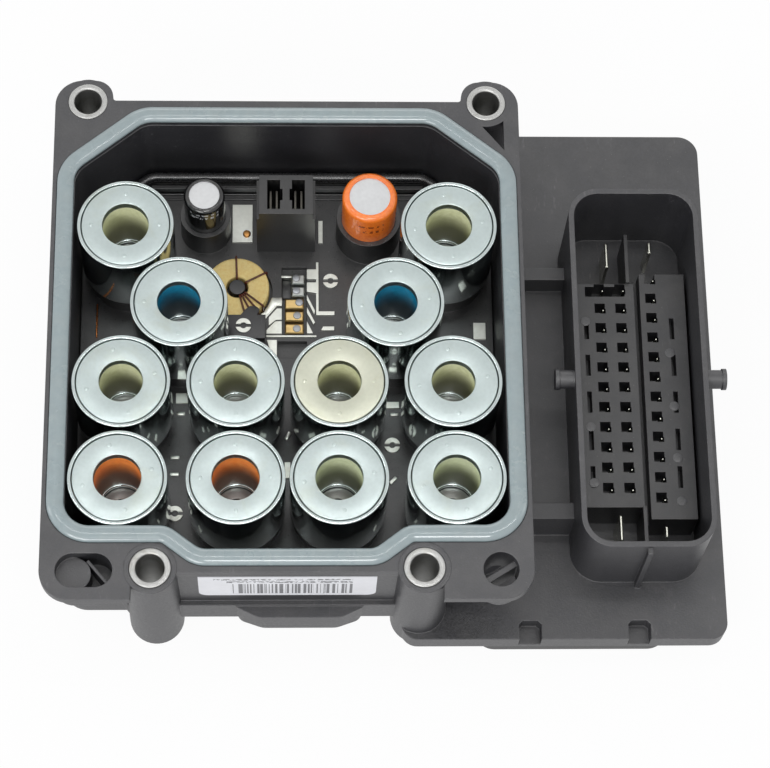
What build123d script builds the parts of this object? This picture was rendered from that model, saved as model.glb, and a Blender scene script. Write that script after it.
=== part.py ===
from build123d import *
import os
from math import cos, radians, sin, sqrt

# Anti-lock brake control module, seen with its valve side up.
# The pieces are modelled in a working frame and moved to the final frame at the end.
# Working frame: z = 0 is the flange face that bolts to the hydraulic block, x = 0 is the
# middle of the coil pocket, y = 0 runs through the row of four coils in the middle,
# +x points to the plug and +y to the rear ears. All sizes are in millimetres.

# Levels, all measured down from the flange face
flange_thickness = 2.6
deck_level = 28.0
deck_thickness = 2.4
floor_thickness = 2.6
plate_thickness = 5.8
cover_thickness = 2.4
pan_depth = 4.2
pan_wall = 2.0
plate_level = deck_level + 3.0
pillar_height = plate_level + plate_thickness + 2.2

# Solenoid coils: can, pole plate, bobbin and winding
coil_radius = 11.5
coil_height = 21.5
can_wall = 0.85
can_floor = 1.5
can_rim_bevel = 0.3
wide_bore_radius = 5.5
narrow_bore_radius = 5.1
can_bore_step = 0.5
pole_thickness = 2.2
pole_gap = 0.1
pole_sink = 0.1
pole_ring_inset = 0.3
bobbin_wall = 0.9
bobbin_flange = 1.0
bobbin_gap = 0.15
winding_gap = 0.1
winding_margin = 0.5
seat_step = 0.9
seat_radius = coil_radius - seat_step
seat_bore_radius = 4.2
terminal_width = 1.2
terminal_thickness = 0.6
terminal_radius = seat_radius - 3.0
terminal_gap = 0.1
terminal_window_gap = 0.4
terminal_angles = (45.0, 225.0)

# Rows of coils, placed by the gaps between neighbouring cans. Row d is at the front,
# row c runs along y = 0, and the pairs b and a stand behind it.
coil_pitch = 2 * coil_radius
gap_in_middle_c = 1.24
gap_at_side_c = 3.65
gap_in_middle_d = 0.86
gap_at_side_d = 4.11
gap_d_to_c = 0.82
gap_c_to_b = 1.26
gap_b_to_a = 0.76
gap_d_to_wall = 0.46
gap_a_to_wall = 0.9
gap_d_to_front = 0.08
coil_b_shift = 0.155
coil_c_inner = coil_radius + gap_in_middle_c / 2
coil_c_outer = coil_c_inner + coil_pitch + gap_at_side_c
coil_d_inner = coil_radius + gap_in_middle_d / 2
coil_d_outer = coil_d_inner + coil_pitch + gap_at_side_d
coil_d_y = coil_pitch + gap_d_to_c
pocket_half_width = coil_d_outer + coil_radius + gap_d_to_wall
coil_b_x = (coil_c_inner + coil_c_outer) / 2 + coil_b_shift
coil_b_y = sqrt((coil_pitch + gap_c_to_b) ** 2 - (coil_b_x - coil_c_inner) ** 2)
coil_a_x = pocket_half_width - coil_radius - gap_a_to_wall
coil_a_y = coil_b_y + sqrt((coil_pitch + gap_b_to_a) ** 2 - (coil_a_x - coil_b_x) ** 2)

# Motor socket with two slots, behind the coils
socket_x = -0.35
socket_y = coil_a_y + 10.94
socket_width = 14.3
socket_head_width = 13.1
socket_depth = 10.4
socket_top = 6.0
socket_head_height = 3.0
socket_slot_width = 3.1
socket_slot_length = 7.8
socket_slot_pitch = 6.0
socket_slot_depth = 16.0
fork_thickness = 0.5
fork_width = 5.6
fork_foot = 1.0
fork_spread = 0.75
fork_drop = 4.0
socket_key_width = 1.2
socket_key_length = 3.1

# Coil pocket: its inner outline and its wall
wall = 2.6
nose_reach = 5.6
nose_run = 7.4
rear_cut_x = 16.4
rear_cut_y = 13.1
pocket_radius = 6.0
nose_radius = 4.0
pocket_front = coil_d_y + coil_radius + gap_d_to_front
pocket_back = socket_y + socket_depth / 2 + 11.1
nose_front = pocket_front + nose_reach

# Seal bead in its rebate
seal_width = 4.2
seal_rebate = 1.6
seal_stand = 1.0
seal_gap = 0.05
seal_round = 1.6

# Flange with its rear ears and front tabs, and the bolt sleeves in it
flange_side = 1.0
flange_rear = 1.7
flange_half_width = pocket_half_width + seal_width + flange_side
flange_back = pocket_back + seal_width + flange_rear
bolt_bore_radius = 3.25
bushing_radius = 4.75
bushing_stand = 0.2
bushing_gap = 0.04
pillar_top_radius = 6.0
pillar_foot_radius = 6.5
rear_bolt_x = flange_half_width - 7.85
rear_bolt_y = flange_back - 0.32
front_bolt_x = flange_half_width - 25.07
front_bolt_y = pocket_front + seal_width + 6.06
ear_back = rear_bolt_y + 5.72
ear_inner_x = rear_bolt_x - 6.05
ear_radius = 6.6
ear_inner_radius = 4.4
ear_notch_radius = 0.8
tab_front = front_bolt_y + 7.44
tab_inner_x = front_bolt_x + 4.37
tab_radius = 7.0
nose_half_width = front_bolt_x - seal_width - 7.03
apron_front = nose_front + seal_width + 1.5
apron_inset = 0.35

# Connector pins and blades. Each column gives its x, its first y and how many pins it has.
shroud_left = flange_half_width + 13.0
pin_pitch = 5.17
pin_size = 0.64
pin_hole = 2.5
pin_hole_depth = 6.0
pin_offset = 0.75
pin_stand = 0.4
left_pin_count = 11
right_pin_count = 12
left_pin_start = 31.1
right_pin_start = 33.8
left_pin_x = shroud_left + 7.9
middle_pin_x = left_pin_x + 5.1
guide_split_x = middle_pin_x + 3.4
right_pin_x = guide_split_x + 4.1
blade_thickness = 0.8
blade_rise = 12.0
blade_chamfer = 0.25
wide_blade = 6.3
narrow_blade = 2.8

# Guide block round the pins
guide_level = 19.0
guide_side_gap = 0.7
guide_left = shroud_left + guide_side_gap
guide_back_left = left_pin_start + 2.1
guide_back_right = right_pin_start + 2.0
guide_front_left = (left_pin_count - 1) * pin_pitch - left_pin_start + 4.2
guide_front_right = (right_pin_count - 1) * pin_pitch - right_pin_start + 4.73
guide_groove = 1.4
guide_groove_depth = 5.0
guide_trench_width = 2.6
guide_trench_inset = 3.0
fin_x = guide_split_x - 2.2
fin_thickness = 0.9
fin_drop = 1.0
fin_rear_gap = 4.5
fin_front_gap = 1.0
key_slot_width = 1.1
key_slot_depth = 4.0
key_slot_length = 5.5
key_slot_inset_left = 2.4
key_slot_inset_right = 4.2
key_slot_count = 5
key_slot_start = guide_back_left - 9.2
key_slot_pitch = (guide_back_left + guide_front_left - 19.6) / (key_slot_count - 1)

# Plug shroud
shroud_right = right_pin_x + 8.4
shroud_front = guide_front_right + 10.4
shroud_back = guide_back_right + 14.7
shroud_rim = 4.0
shroud_wall = 1.3
shroud_radius = 6.0
shroud_rib = 1.2
shroud_rib_reach = 1.5
shroud_rib_drop = 1.0
trunnion_radius = 2.25
trunnion_length = 3.6
trunnion_head = 1.0
trunnion_head_radius = 2.55
trunnion_y = (shroud_back - shroud_front) / 2 - 2.95
trunnion_drop = 3.2
guide_right = shroud_right - guide_side_gap

# Plug plate beside the pocket
plate_right = shroud_right + 6.8
plate_back = ear_back + 1.1
plate_front = tab_front + 0.6
plate_left_front = front_bolt_x - 4.13
plate_step = 1.0
plate_radius = 4.0
plate_back_radius = 5.0
base_front = nose_front + 3.4

# Beams and raised floor between the pocket wall and the shroud
bridge_level = 19.0
bridge_floor_level = 26.0
rear_beam_y = guide_back_right
rear_beam_width = 3.2
front_beam_y = -guide_front_left - 0.8
front_beam_width = 4.0

# Snap windows in the plate's front edge
snap_x = (shroud_left - 11.5, shroud_left + 14.6)
snap_width = 5.3
snap_reach = 4.6
snap_depth = 4.4
snap_chamfer = 0.9

# Front base ledge and the lobe below the label
ledge_level = 22.5
ledge_foot = plate_level + 0.5
ledge_reach = 1.0
lobe_level = 22.9
lobe_foot = plate_level + 3.0
lobe_centre_x = 2.9
lobe_top_half = 15.6
lobe_front_half = 9.6
lobe_reach = 3.9
lobe_radius = 5.0
lobe_step = 0.8

# Openings in the flange tabs and the rear ear
tab_slot_length = 13.0
tab_slot_width = 8.0
tab_slot_depth = 7.5
tab_slot_x = flange_half_width - tab_slot_length / 2 - 3.6
tab_slot_y = tab_front - tab_slot_width / 2 - 3.0
tab_wall = 1.3
tab_floor = 1.6
tab_hole_radius = 4.1
tab_hole_x = flange_half_width - tab_hole_radius - 3.5
tab_rib = 1.4
tab_rib_angle = 32.0
tab_web_angle = -50.0
tab_dome_drop = 0.5
ear_pocket_depth = 8.0
ear_pocket_wall = 3.7
ear_pocket_width = 6.5
ear_pocket_length = 8.0
ear_pocket_gap = 1.6

# Gusset between the left front pillar and the flange
gusset_thickness = 1.8
gusset_reach = 5.0
gusset_root = 1.0
gusset_drop = plate_level
gusset_rim = 2.0

# Lid on the underside
cover_inset = 0.8
pan_left = -pocket_half_width + 7.0
pan_right = plate_right - 12.9
pan_back = pocket_back - 1.3
pan_front = nose_front - 1.0
pan_tongue_left = pocket_half_width - 6.0
pan_tongue_front = plate_front - 1.1
pan_radius = 5.0
board_post_radius = 2.5
board_hole_radius = 1.6

# Circuit board and chips. Each chip gives its middle and its two sides.
board_gap = 0.6
board_thickness = 1.6
board_notch = 9.0
chip_height = 1.2
chips = [
    (-14.0, 8.0, 20.0, 20.0),
    (18.0, 12.0, 12.0, 12.0),
    (-10.0, 42.0, 8.0, 6.0),
    (20.0, 40.0, 8.0, 6.0),
]

# Choke ring with its turns, in a shallow recess behind coil b1
choke_radius = 7.9
choke_bore_radius = 2.7
choke_height = 3.6
choke_round = 0.5
choke_turn_angles = [92.0, 28.0, -39.0, -51.0, -63.0, -75.0]
choke_direction = 48.1
choke_seat_gap = 0.53
turn_width = 0.42
turn_gap = 0.1
turn_thickness = 0.55
recess_depth = 1.4
recess_level = deck_level + recess_depth
recess_radius = choke_radius + 2 * turn_gap + turn_thickness
choke_reach = seat_radius + recess_radius + choke_seat_gap
choke_x = -coil_b_x + choke_reach * cos(radians(choke_direction))
choke_y = coil_b_y + choke_reach * sin(radians(choke_direction))

# Deck with the window for its welded joints
deck_gap = 0.3
floor_lip = 4.0
window_depth = 1.8
window_width = 6.2
window_gap = 2.35
window_left = choke_x + recess_radius + window_gap
window_right = window_left + window_width
pad_pitch = 3.33
pad_first_y = choke_y + 3.3
pad_left_first = 2.4
pad_left_rest = 0.8
pad_row_widths = (3.3, 3.3, 4.6, 4.6, 4.6)
pad_depth = 2.6
pad_height = 2.1
pad_bevel = 0.3
window_back = pad_first_y + pad_pitch
window_front = pad_first_y - 4 * pad_pitch - 1.48
small_window_length = 4.4
small_window_back = window_front - 1.8
small_window_front = small_window_back - small_window_length
small_window_left = window_left - 1.0
rear_rib_front = 5.5
rear_rib_back = 3.4
rear_rib_height = 1.6
rear_rib_bevel = 0.6

# Capacitors and their cups on the deck, one on each side of the motor socket
small_cap_radius = 5.0
small_cap_top = 7.5
small_cup_level = 18.5
small_cap_x = -(coil_a_x - coil_radius - 6.9)
small_cap_y = coil_a_y + 11.34
large_cap_radius = 6.7
large_cap_top = 6.0
large_cup_level = 17.5
large_cap_x = coil_a_x - coil_radius - 7.1
large_cap_y = coil_a_y + 10.34
cup_wall = 1.2
sleeve_thickness = 0.3
sleeve_gap = 0.02
cap_shoulder = 0.8
cap_lip_share = 0.74
cap_foot_gap = 0.2

# Bare strips, tabs, contacts and eyelets on the deck.
# Each contact gives its middle and its two sides.
strip_thickness = 0.5
strip_gap = 0.3
strip_width = 1.0
eyelet_radius = 1.9
eyelet_slot = 0.8
eyelets = [
    (window_right + 5.9, pad_first_y - 0.5),
    (choke_x + 1.5, choke_y - recess_radius - 2.05),
    (coil_b_x - 0.2, -coil_d_y / 2 - 0.49),
    (-coil_b_x, -coil_d_y / 2 - 0.69),
]
contacts = [
    (-coil_b_x, coil_b_y - seat_radius - 3.17, 3.0, 2.6),
    (coil_b_x - 0.1, coil_b_y - seat_radius - 4.97, 3.4, 1.6),
    (pocket_half_width - 3.6, coil_a_y - 15.86, 3.0, 4.4),
    (0.0, -coil_d_y / 2 - 0.29, 1.4, 4.0),
]

# Label on the front wall
label_width = 41.0
label_height = 13.6
label_drop = 4.4
label_thickness = 0.2
label_radius = 2.2


standing = (Align.CENTER, Align.CENTER, Align.MIN)


def outline(corners):
    """Face bounded by straight sides with one rounding radius at each corner."""
    points = [(x, y) for x, y, radius in corners]
    radii = [radius for x, y, radius in corners]
    return make_face(FilletPolyline(*points, radius=radii, close=True))


def slab(face, low, high):
    """Solid between two levels with the given outline."""
    return Pos(0, 0, low) * extrude(face, high - low)


def rectangle(left, right, front, back, radius=0.0):
    """Face given by its four sides."""
    corners = [(left, front), (right, front), (right, back), (left, back)]
    return outline([(x, y, radius) for x, y in corners])


def block(left, right, front, back, low, high):
    """Box given by its six sides."""
    return slab(rectangle(left, right, front, back), low, high)


def round_bar(x, y, radius, low, high):
    """Upright cylinder between two levels."""
    return Pos(x, y, low) * Cylinder(radius, high - low, align=standing)


def tube(x, y, bore, radius, low, high):
    """Upright tube between two levels."""
    ring = Circle(radius) - Circle(bore)
    return Pos(x, y, low) * extrude(ring, high - low)


def pocket_outline(grow=0.0):
    """Inner outline of the coil pocket, grown outwards by an offset."""
    face = outline(
        [
            (-pocket_half_width, pocket_back - rear_cut_y, pocket_radius),
            (-pocket_half_width + rear_cut_x, pocket_back, pocket_radius),
            (pocket_half_width - rear_cut_x, pocket_back, pocket_radius),
            (pocket_half_width, pocket_back - rear_cut_y, pocket_radius),
            (pocket_half_width, -pocket_front, pocket_radius),
            (nose_half_width + nose_run, -pocket_front, pocket_radius),
            (nose_half_width, -nose_front, nose_radius),
            (-nose_half_width, -nose_front, nose_radius),
            (-nose_half_width - nose_run, -pocket_front, pocket_radius),
            (-pocket_half_width, -pocket_front, pocket_radius),
        ]
    )
    if grow:
        face = offset(face, grow)
    return face


def flange_outline():
    """Outline of the bolting flange with its ears and tabs."""
    half = [
        (ear_inner_x, flange_back, ear_notch_radius),
        (ear_inner_x, ear_back, ear_inner_radius),
        (flange_half_width, ear_back, ear_radius),
        (flange_half_width, -tab_front, tab_radius),
        (tab_inner_x, -tab_front, 0.0),
        (tab_inner_x, -apron_front, 0.0),
    ]
    other_half = [(-x, y, radius) for x, y, radius in reversed(half)]
    return outline(half + other_half)


def base_outline(shrink=0.0):
    """Outline of the base: the pocket's foot on the left and the plug plate on the right."""
    left = -pocket_half_width - wall + shrink
    right = plate_right - shrink
    back = plate_back - shrink
    front = -plate_front + shrink
    main_back = pocket_back + wall - shrink
    main_front = -base_front + shrink
    step_x = flange_half_width - plate_step + shrink
    front_step_x = plate_left_front + shrink
    return outline(
        [
            (left, main_front, pocket_radius),
            (left, main_back - rear_cut_y, pocket_radius),
            (left + rear_cut_x, main_back, pocket_radius),
            (step_x, main_back, 0.0),
            (step_x, back, 0.0),
            (right, back, plate_back_radius),
            (right, front, plate_radius),
            (front_step_x, front, plate_radius),
            (front_step_x, main_front, 0.0),
        ]
    )


def lip_level():
    """Lower face of the inner lip that carries the deck."""
    return -deck_level - deck_thickness - floor_thickness


def bolt_places():
    """Centres of the four bolts."""
    return [
        (-rear_bolt_x, rear_bolt_y),
        (rear_bolt_x, rear_bolt_y),
        (-front_bolt_x, -front_bolt_y),
        (front_bolt_x, -front_bolt_y),
    ]


def coil_places():
    """Name, centre and bore radius of the twelve coils."""
    rows = {
        "a": [(x, coil_a_y) for x in (-coil_a_x, coil_a_x)],
        "b": [(x, coil_b_y) for x in (-coil_b_x, coil_b_x)],
        "c": [(x, 0.0) for x in (-coil_c_outer, -coil_c_inner, coil_c_inner, coil_c_outer)],
        "d": [(x, -coil_d_y) for x in (-coil_d_outer, -coil_d_inner, coil_d_inner, coil_d_outer)],
    }
    places = []
    for row, centres in rows.items():
        bore = wide_bore_radius if row in "ad" else narrow_bore_radius
        for number, (x, y) in enumerate(centres, start=1):
            places.append((f"{row}{number}", x, y, bore))
    return places


def pillar(x, y):
    """Slightly tapered pillar round a bolt sleeve."""
    cone = Cone(pillar_foot_radius, pillar_top_radius, pillar_height, align=standing)
    return Pos(x, y, -pillar_height) * cone


def lobe():
    """Rounded bulge of the base below the label, in two layers."""
    root = -apron_front + wall
    tip = -apron_front - lobe_reach

    def layer(shrink):
        return outline(
            [
                (lobe_centre_x - lobe_top_half + shrink, root, 0.0),
                (lobe_centre_x - lobe_top_half + shrink, -apron_front - ledge_reach, lobe_radius / 2),
                (lobe_centre_x - lobe_front_half + shrink, tip + shrink, lobe_radius),
                (lobe_centre_x + lobe_front_half - shrink, tip + shrink, lobe_radius),
                (lobe_centre_x + lobe_top_half - shrink, -apron_front - ledge_reach, lobe_radius / 2),
                (lobe_centre_x + lobe_top_half - shrink, root, 0.0),
            ]
        )

    upper = slab(layer(0.0), -(lobe_level + lobe_foot) / 2, -lobe_level)
    lower = slab(layer(lobe_step), -lobe_foot, -(lobe_level + lobe_foot) / 2)
    return upper + lower


def gusset():
    """Thin web from the flange tab down to the left front pillar, with its window."""
    foot_x = -front_bolt_x - pillar_foot_radius + gusset_root
    reach_x = foot_x - gusset_reach
    web = outline(
        [
            (reach_x, -flange_thickness, 0.0),
            (foot_x + gusset_root, -flange_thickness, 0.0),
            (foot_x + gusset_root, -gusset_drop - gusset_rim, 0.0),
            (foot_x, -gusset_drop - gusset_rim, 0.0),
        ]
    )
    window = outline(
        [
            (reach_x + 1.4 * gusset_rim, -flange_thickness - gusset_rim / 2, 0.0),
            (foot_x, -flange_thickness - gusset_rim / 2, 0.0),
            (foot_x, -gusset_drop + gusset_rim, 0.0),
        ]
    )
    front = -front_bolt_y - gusset_thickness
    return Pos(0, front, 0) * Rot(90, 0, 0) * extrude(web - window, -gusset_thickness)


def shroud():
    """Thin wall round the plug's pins, with its outside rib and two trunnions."""
    outer = rectangle(
        shroud_left - shroud_wall,
        shroud_right + shroud_wall,
        -shroud_front - shroud_wall,
        shroud_back + shroud_wall,
        shroud_radius + shroud_wall,
    )
    solid = slab(outer, -plate_level, -shroud_rim)
    rib_x = (shroud_left + shroud_right) / 2
    rib_front = -shroud_front - shroud_wall - shroud_rib_reach
    rib = rectangle(rib_x - shroud_rib / 2, rib_x + shroud_rib / 2, rib_front, -shroud_front)
    solid += slab(rib, -plate_level, -shroud_rim - shroud_rib_drop)
    level = -shroud_rim - trunnion_drop
    for side, face_x in ((-1, shroud_left - shroud_wall), (1, shroud_right + shroud_wall)):
        shaft = Cylinder(trunnion_radius, trunnion_length, align=standing)
        head = Pos(0, 0, trunnion_length) * Cylinder(trunnion_head_radius, trunnion_head, align=standing)
        solid += Pos(face_x, trunnion_y, level) * Rot(0, 90 * side, 0) * (shaft + head)
    return solid


def shroud_cavity():
    """Space inside the shroud, down to the plate."""
    face = rectangle(shroud_left, shroud_right, -shroud_front, shroud_back, shroud_radius)
    return slab(face, -plate_level, 0.0)


def beam(centre_y, width):
    """Beam from the pocket wall to the shroud."""
    left = pocket_half_width + wall / 2
    right = shroud_left - shroud_wall / 2
    return block(left, right, centre_y - width / 2, centre_y + width / 2, -plate_level, -bridge_level)


def snap_window(x):
    """Eight-sided recess in the front edge of the plate."""
    face = Rectangle(snap_width, snap_reach * 2)
    face = chamfer(face.vertices(), snap_chamfer)
    return Pos(x, -plate_front, 0) * slab(face, -plate_level - snap_depth, -plate_level)


def tab_sockets():
    """Bosses under the front tabs, and the cuts through them."""
    low = -flange_thickness - tab_slot_depth
    left_x = -tab_slot_x
    y = -tab_slot_y
    bosses = Pos(left_x, y, low) * extrude(
        SlotOverall(tab_slot_length + 2 * tab_wall, tab_slot_width + 2 * tab_wall), tab_slot_depth
    )
    bosses += round_bar(tab_hole_x, y, tab_hole_radius + tab_wall, low, -flange_thickness)
    cuts = Pos(left_x, y, low + tab_floor) * extrude(
        SlotOverall(tab_slot_length, tab_slot_width), tab_slot_depth + flange_thickness
    )
    cuts += round_bar(tab_hole_x, y, tab_hole_radius, low, 0.0)
    bar = Box(2 * tab_hole_radius + tab_wall, tab_rib, tab_slot_depth, align=standing)
    ribs = Pos(tab_hole_x, y, low) * Rot(0, 0, tab_rib_angle) * bar
    dome_x = left_x - (tab_slot_length - tab_slot_width) / 2
    ribs += round_bar(dome_x, y, tab_slot_width / 2, low, low + tab_slot_depth - tab_dome_drop)
    web_x = left_x + tab_slot_length / 4
    web = Box(tab_slot_width, tab_rib / 2, tab_slot_depth, align=standing)
    ribs += Pos(web_x, y, low) * Rot(0, 0, tab_web_angle) * web
    return bosses, cuts, ribs


def ear_pocket():
    """Three-sided recess beside the right rear sleeve."""
    right = flange_half_width - ear_pocket_wall
    left = right - ear_pocket_width
    back = rear_bolt_y - bushing_radius
    face = outline([(left, back, 0.0), (right, back, 0.0), (right, back - ear_pocket_length, 0.0)])
    face -= Pos(rear_bolt_x, rear_bolt_y) * Circle(bushing_radius + ear_pocket_gap)
    return slab(face, -ear_pocket_depth, 0.0)


def make_housing():
    """Black moulding that carries everything."""
    floor_low = lip_level()
    solid = slab(flange_outline(), -flange_thickness, 0.0)
    solid += slab(pocket_outline(wall), -plate_level - plate_thickness, 0.0)
    solid += slab(base_outline(), -plate_level - plate_thickness, -plate_level)
    apron = rectangle(-front_bolt_x, front_bolt_x, -apron_front + apron_inset, -nose_front)
    solid += slab(apron, -ledge_level, 0.0)
    ledge = rectangle(-front_bolt_x, front_bolt_x, -apron_front - ledge_reach, -nose_front)
    solid += slab(ledge, -ledge_foot, -ledge_level)
    solid += lobe()
    for x, y in bolt_places():
        solid += pillar(x, y)
    solid += gusset()
    bosses, tab_cuts, tab_ribs = tab_sockets()
    solid += bosses
    solid += shroud()
    left = pocket_half_width + wall / 2
    right = shroud_left - shroud_wall / 2
    solid += block(left, right, front_beam_y, rear_beam_y, -plate_level, -bridge_floor_level)
    solid += beam(rear_beam_y, rear_beam_width)
    solid += beam(front_beam_y, front_beam_width)
    solid -= shroud_cavity()
    solid -= slab(pocket_outline(), -deck_level - deck_thickness, 0.0)
    solid -= slab(pocket_outline(-floor_lip), floor_low - 0.1, -deck_level)
    solid -= slab(pocket_outline(), -plate_level - plate_thickness, floor_low)
    solid -= slab(pocket_outline(seal_width), -seal_rebate, 0.0)
    solid -= tab_cuts
    solid += tab_ribs
    solid -= ear_pocket()
    for x in snap_x:
        solid -= snap_window(x)
    for x, y in bolt_places():
        solid -= round_bar(x, y, bushing_radius + bushing_gap, -pillar_height, 0.0)
    return solid


def make_gasket():
    """Seal bead with a crowned top."""
    ring = pocket_outline(seal_width - seal_gap) - pocket_outline(seal_gap)
    solid = slab(ring, -seal_rebate, seal_stand)
    return fillet(solid.edges().group_by(Axis.Z)[-1], seal_round)


def make_bushings():
    """Four steel sleeves that carry the bolt load."""
    places = bolt_places()
    return [tube(x, y, bolt_bore_radius, bushing_radius, -pillar_height, bushing_stand) for x, y in places]


def terminal_bar(angle, low, high, gap=0.0):
    """One flat terminal post of a coil at the origin, grown by a gap."""
    bar = Box(terminal_thickness + 2 * gap, terminal_width + 2 * gap, high - low, align=standing)
    return Rot(0, 0, angle) * Pos(terminal_radius, 0, low) * bar


def make_can(x, y, bore):
    """Drawn steel cup with a hole in its floor, bevelled at its rim and foot."""
    body = round_bar(0, 0, coil_radius, -coil_height, 0.0)
    body = chamfer(body.edges().group_by(Axis.Z)[-1], can_rim_bevel)
    body = chamfer(body.edges().group_by(Axis.Z)[0], can_floor / 2)
    inside = round_bar(0, 0, coil_radius - can_wall, -coil_height + can_floor, 0.0)
    hole = round_bar(0, 0, bore - can_bore_step, -coil_height, 0.0)
    solid = body - inside - hole
    for angle in terminal_angles:
        solid -= terminal_bar(angle, -coil_height, -coil_height + can_floor, terminal_window_gap)
    return Pos(x, y, 0) * solid


def make_pole(x, y, bore):
    """Steel disc let into the mouth of a can, with a shallow ring groove."""
    radius = coil_radius - can_wall - pole_gap
    body = Circle(radius) - Circle(bore)
    solid = Pos(0, 0, -pole_thickness - pole_sink) * extrude(body, pole_thickness)
    solid = chamfer(solid.edges().group_by(Axis.Z)[-1].sort_by(SortBy.RADIUS)[0], pole_ring_inset)
    return Pos(x, y, 0) * solid


def make_bobbin(x, y, bore):
    """Moulded coil former: a sleeve between two flanges."""
    top = -pole_thickness - pole_sink
    bottom = -coil_height + can_floor
    flange_radius = coil_radius - can_wall - bobbin_gap
    solid = tube(x, y, bore, bore + bobbin_wall, bottom, top)
    solid += tube(x, y, bore, flange_radius, top - bobbin_flange, top)
    solid += tube(x, y, bore, flange_radius, bottom, bottom + bobbin_flange)
    return solid


def make_winding(x, y, bore):
    """Copper turns of one coil, as one ring."""
    top = -pole_thickness - pole_sink - bobbin_flange
    bottom = -coil_height + can_floor + bobbin_flange
    inner = bore + bobbin_wall + winding_gap
    outer = coil_radius - can_wall - bobbin_gap - winding_margin
    return tube(x, y, inner, outer, bottom + winding_gap, top - winding_gap)


def make_terminals(x, y):
    """Two posts that run from the bobbin's foot through the coil seat to the deck's lower face."""
    low = -deck_level - deck_thickness
    high = -coil_height + can_floor
    return [Pos(x, y, 0) * terminal_bar(angle, low, high) for angle in terminal_angles]


def pad_row(number):
    """Middle of one row of the welded joints."""
    return pad_first_y - number * pad_pitch


def strip_outlines():
    """Outlines of the bare strips round the deck's window, left side first."""
    left = window_left
    right = window_right
    third, fourth, fifth = pad_row(2), pad_row(3), pad_row(4)
    bend = pad_pitch - strip_gap
    bus = right + 2.3
    return [
        [
            (left, third + 1.4),
            (left - 1.1, third + 1.4),
            (left - 5.0, third - 4.1),
            (left - 4.0, third - 4.1),
            (left - 1.2, third - 0.7),
            (left, third - 0.7),
        ],
        [
            (left, fourth + 2.0),
            (left - 1.2, fourth + 2.0),
            (left - 3.2, fourth - 0.4),
            (left - 3.2, fourth - 2.6),
            (left - 1.4, fourth + 2.0 - bend),
            (left, fourth + 2.0 - bend),
        ],
        [
            (left, fifth + 1.9),
            (left - 1.6, fifth + 1.9),
            (left - 3.8, fifth - 0.5),
            (left - 3.8, fifth - 1.4),
            (left, fifth - 1.4),
        ],
        [
            (right, pad_row(0) + 2.6),
            (bus, pad_row(0) + 2.6),
            (bus, pad_row(0) + 4.5),
            (bus + 0.6, pad_row(0) + 4.5),
            (bus + 0.6, third - 2.1),
            (bus + 4.5, third - 2.1),
            (bus + 4.5, third - 3.1),
            (bus, third - 3.1),
            (bus, pad_row(1) - 0.5),
            (right, pad_row(1) - 0.1),
            (right, pad_row(1) + 2.4),
            (bus, pad_row(1) + 2.4),
            (bus, pad_row(0)),
            (right, pad_row(0)),
        ],
        [(right, third + 2.4), (right, third + 1.0), (bus - 0.5, third - 2.9), (bus - 0.3, third - 1.9)],
        [(right, fourth + 2.4), (right, fourth + 0.9), (bus - 0.7, fourth - 2.3), (bus - 0.3, fourth - 1.7)],
        [(right, fifth + 1.9), (right, fifth - 1.3), (right + 1.5, fifth - 1.3)],
        [
            (bus + 1.7, fifth + 0.5),
            (bus + 1.2, fifth - 0.5),
            (bus + 4.4, fifth - 0.5),
            (bus + 4.4, fifth + 0.5),
        ],
        [
            (left - 3.8, window_front - 0.4),
            (left - 3.8, window_front - 0.8),
            (bus, window_front - 0.8),
            (bus, window_front - 0.4),
        ],
        [
            (small_window_left - 2.7 * strip_width, small_window_back + 0.2),
            (small_window_left - 0.2, small_window_back + 0.2),
            (small_window_left - 0.2, small_window_front),
            (small_window_left - 0.2 - strip_width, small_window_front),
        ],
    ]


def make_strips():
    """Bare tinned strips, tabs and eyelets on the deck."""
    level = -deck_level
    faces = [outline([(x, y, 0.0) for x, y in points]) for points in strip_outlines()]
    tab_left = small_cap_x + small_cap_radius + cup_wall + strip_gap
    tab_right = socket_x - socket_width / 2 - 4 * strip_gap
    faces.append(rectangle(tab_left, tab_right, socket_y - 2.8, socket_y + 7.5))
    socket_right = socket_x + socket_width / 2
    space = large_cap_x - large_cap_radius - cup_wall - socket_right
    side_left = socket_right + 0.17 * space
    side_right = socket_right + 0.38 * space
    faces.append(rectangle(side_left, side_right, socket_y - 3.0, socket_y + 3.1))
    for x, y, width, depth in contacts:
        faces.append(Pos(x, y) * Rectangle(width, depth))
    for x, y in eyelets:
        ring = Pos(x, y) * (Circle(eyelet_radius) - Circle(eyelet_slot))
        bar = Pos(x, y) * Rectangle(3 * eyelet_radius, eyelet_slot)
        faces += (ring - bar).faces()
    return [slab(face, level, level + strip_thickness) for face in faces]


def make_pads():
    """Small welded blocks that stand in the deck's window and bridge its strips."""
    pads = []
    low = -deck_level - window_depth
    for number, width in enumerate(pad_row_widths):
        left = window_left + (pad_left_first if number < 2 else pad_left_rest)
        y = pad_row(number)
        pad = block(left, left + width, y - pad_depth / 2, y + pad_depth / 2, low, low + pad_height)
        pads.append(chamfer(pad.edges().group_by(Axis.Z)[-1], pad_bevel))
    return pads


def cup(x, y, radius, level):
    """Moulded cup that holds a capacitor."""
    return tube(x, y, radius + sleeve_gap, radius + cup_wall, -deck_level, -level)


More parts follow.
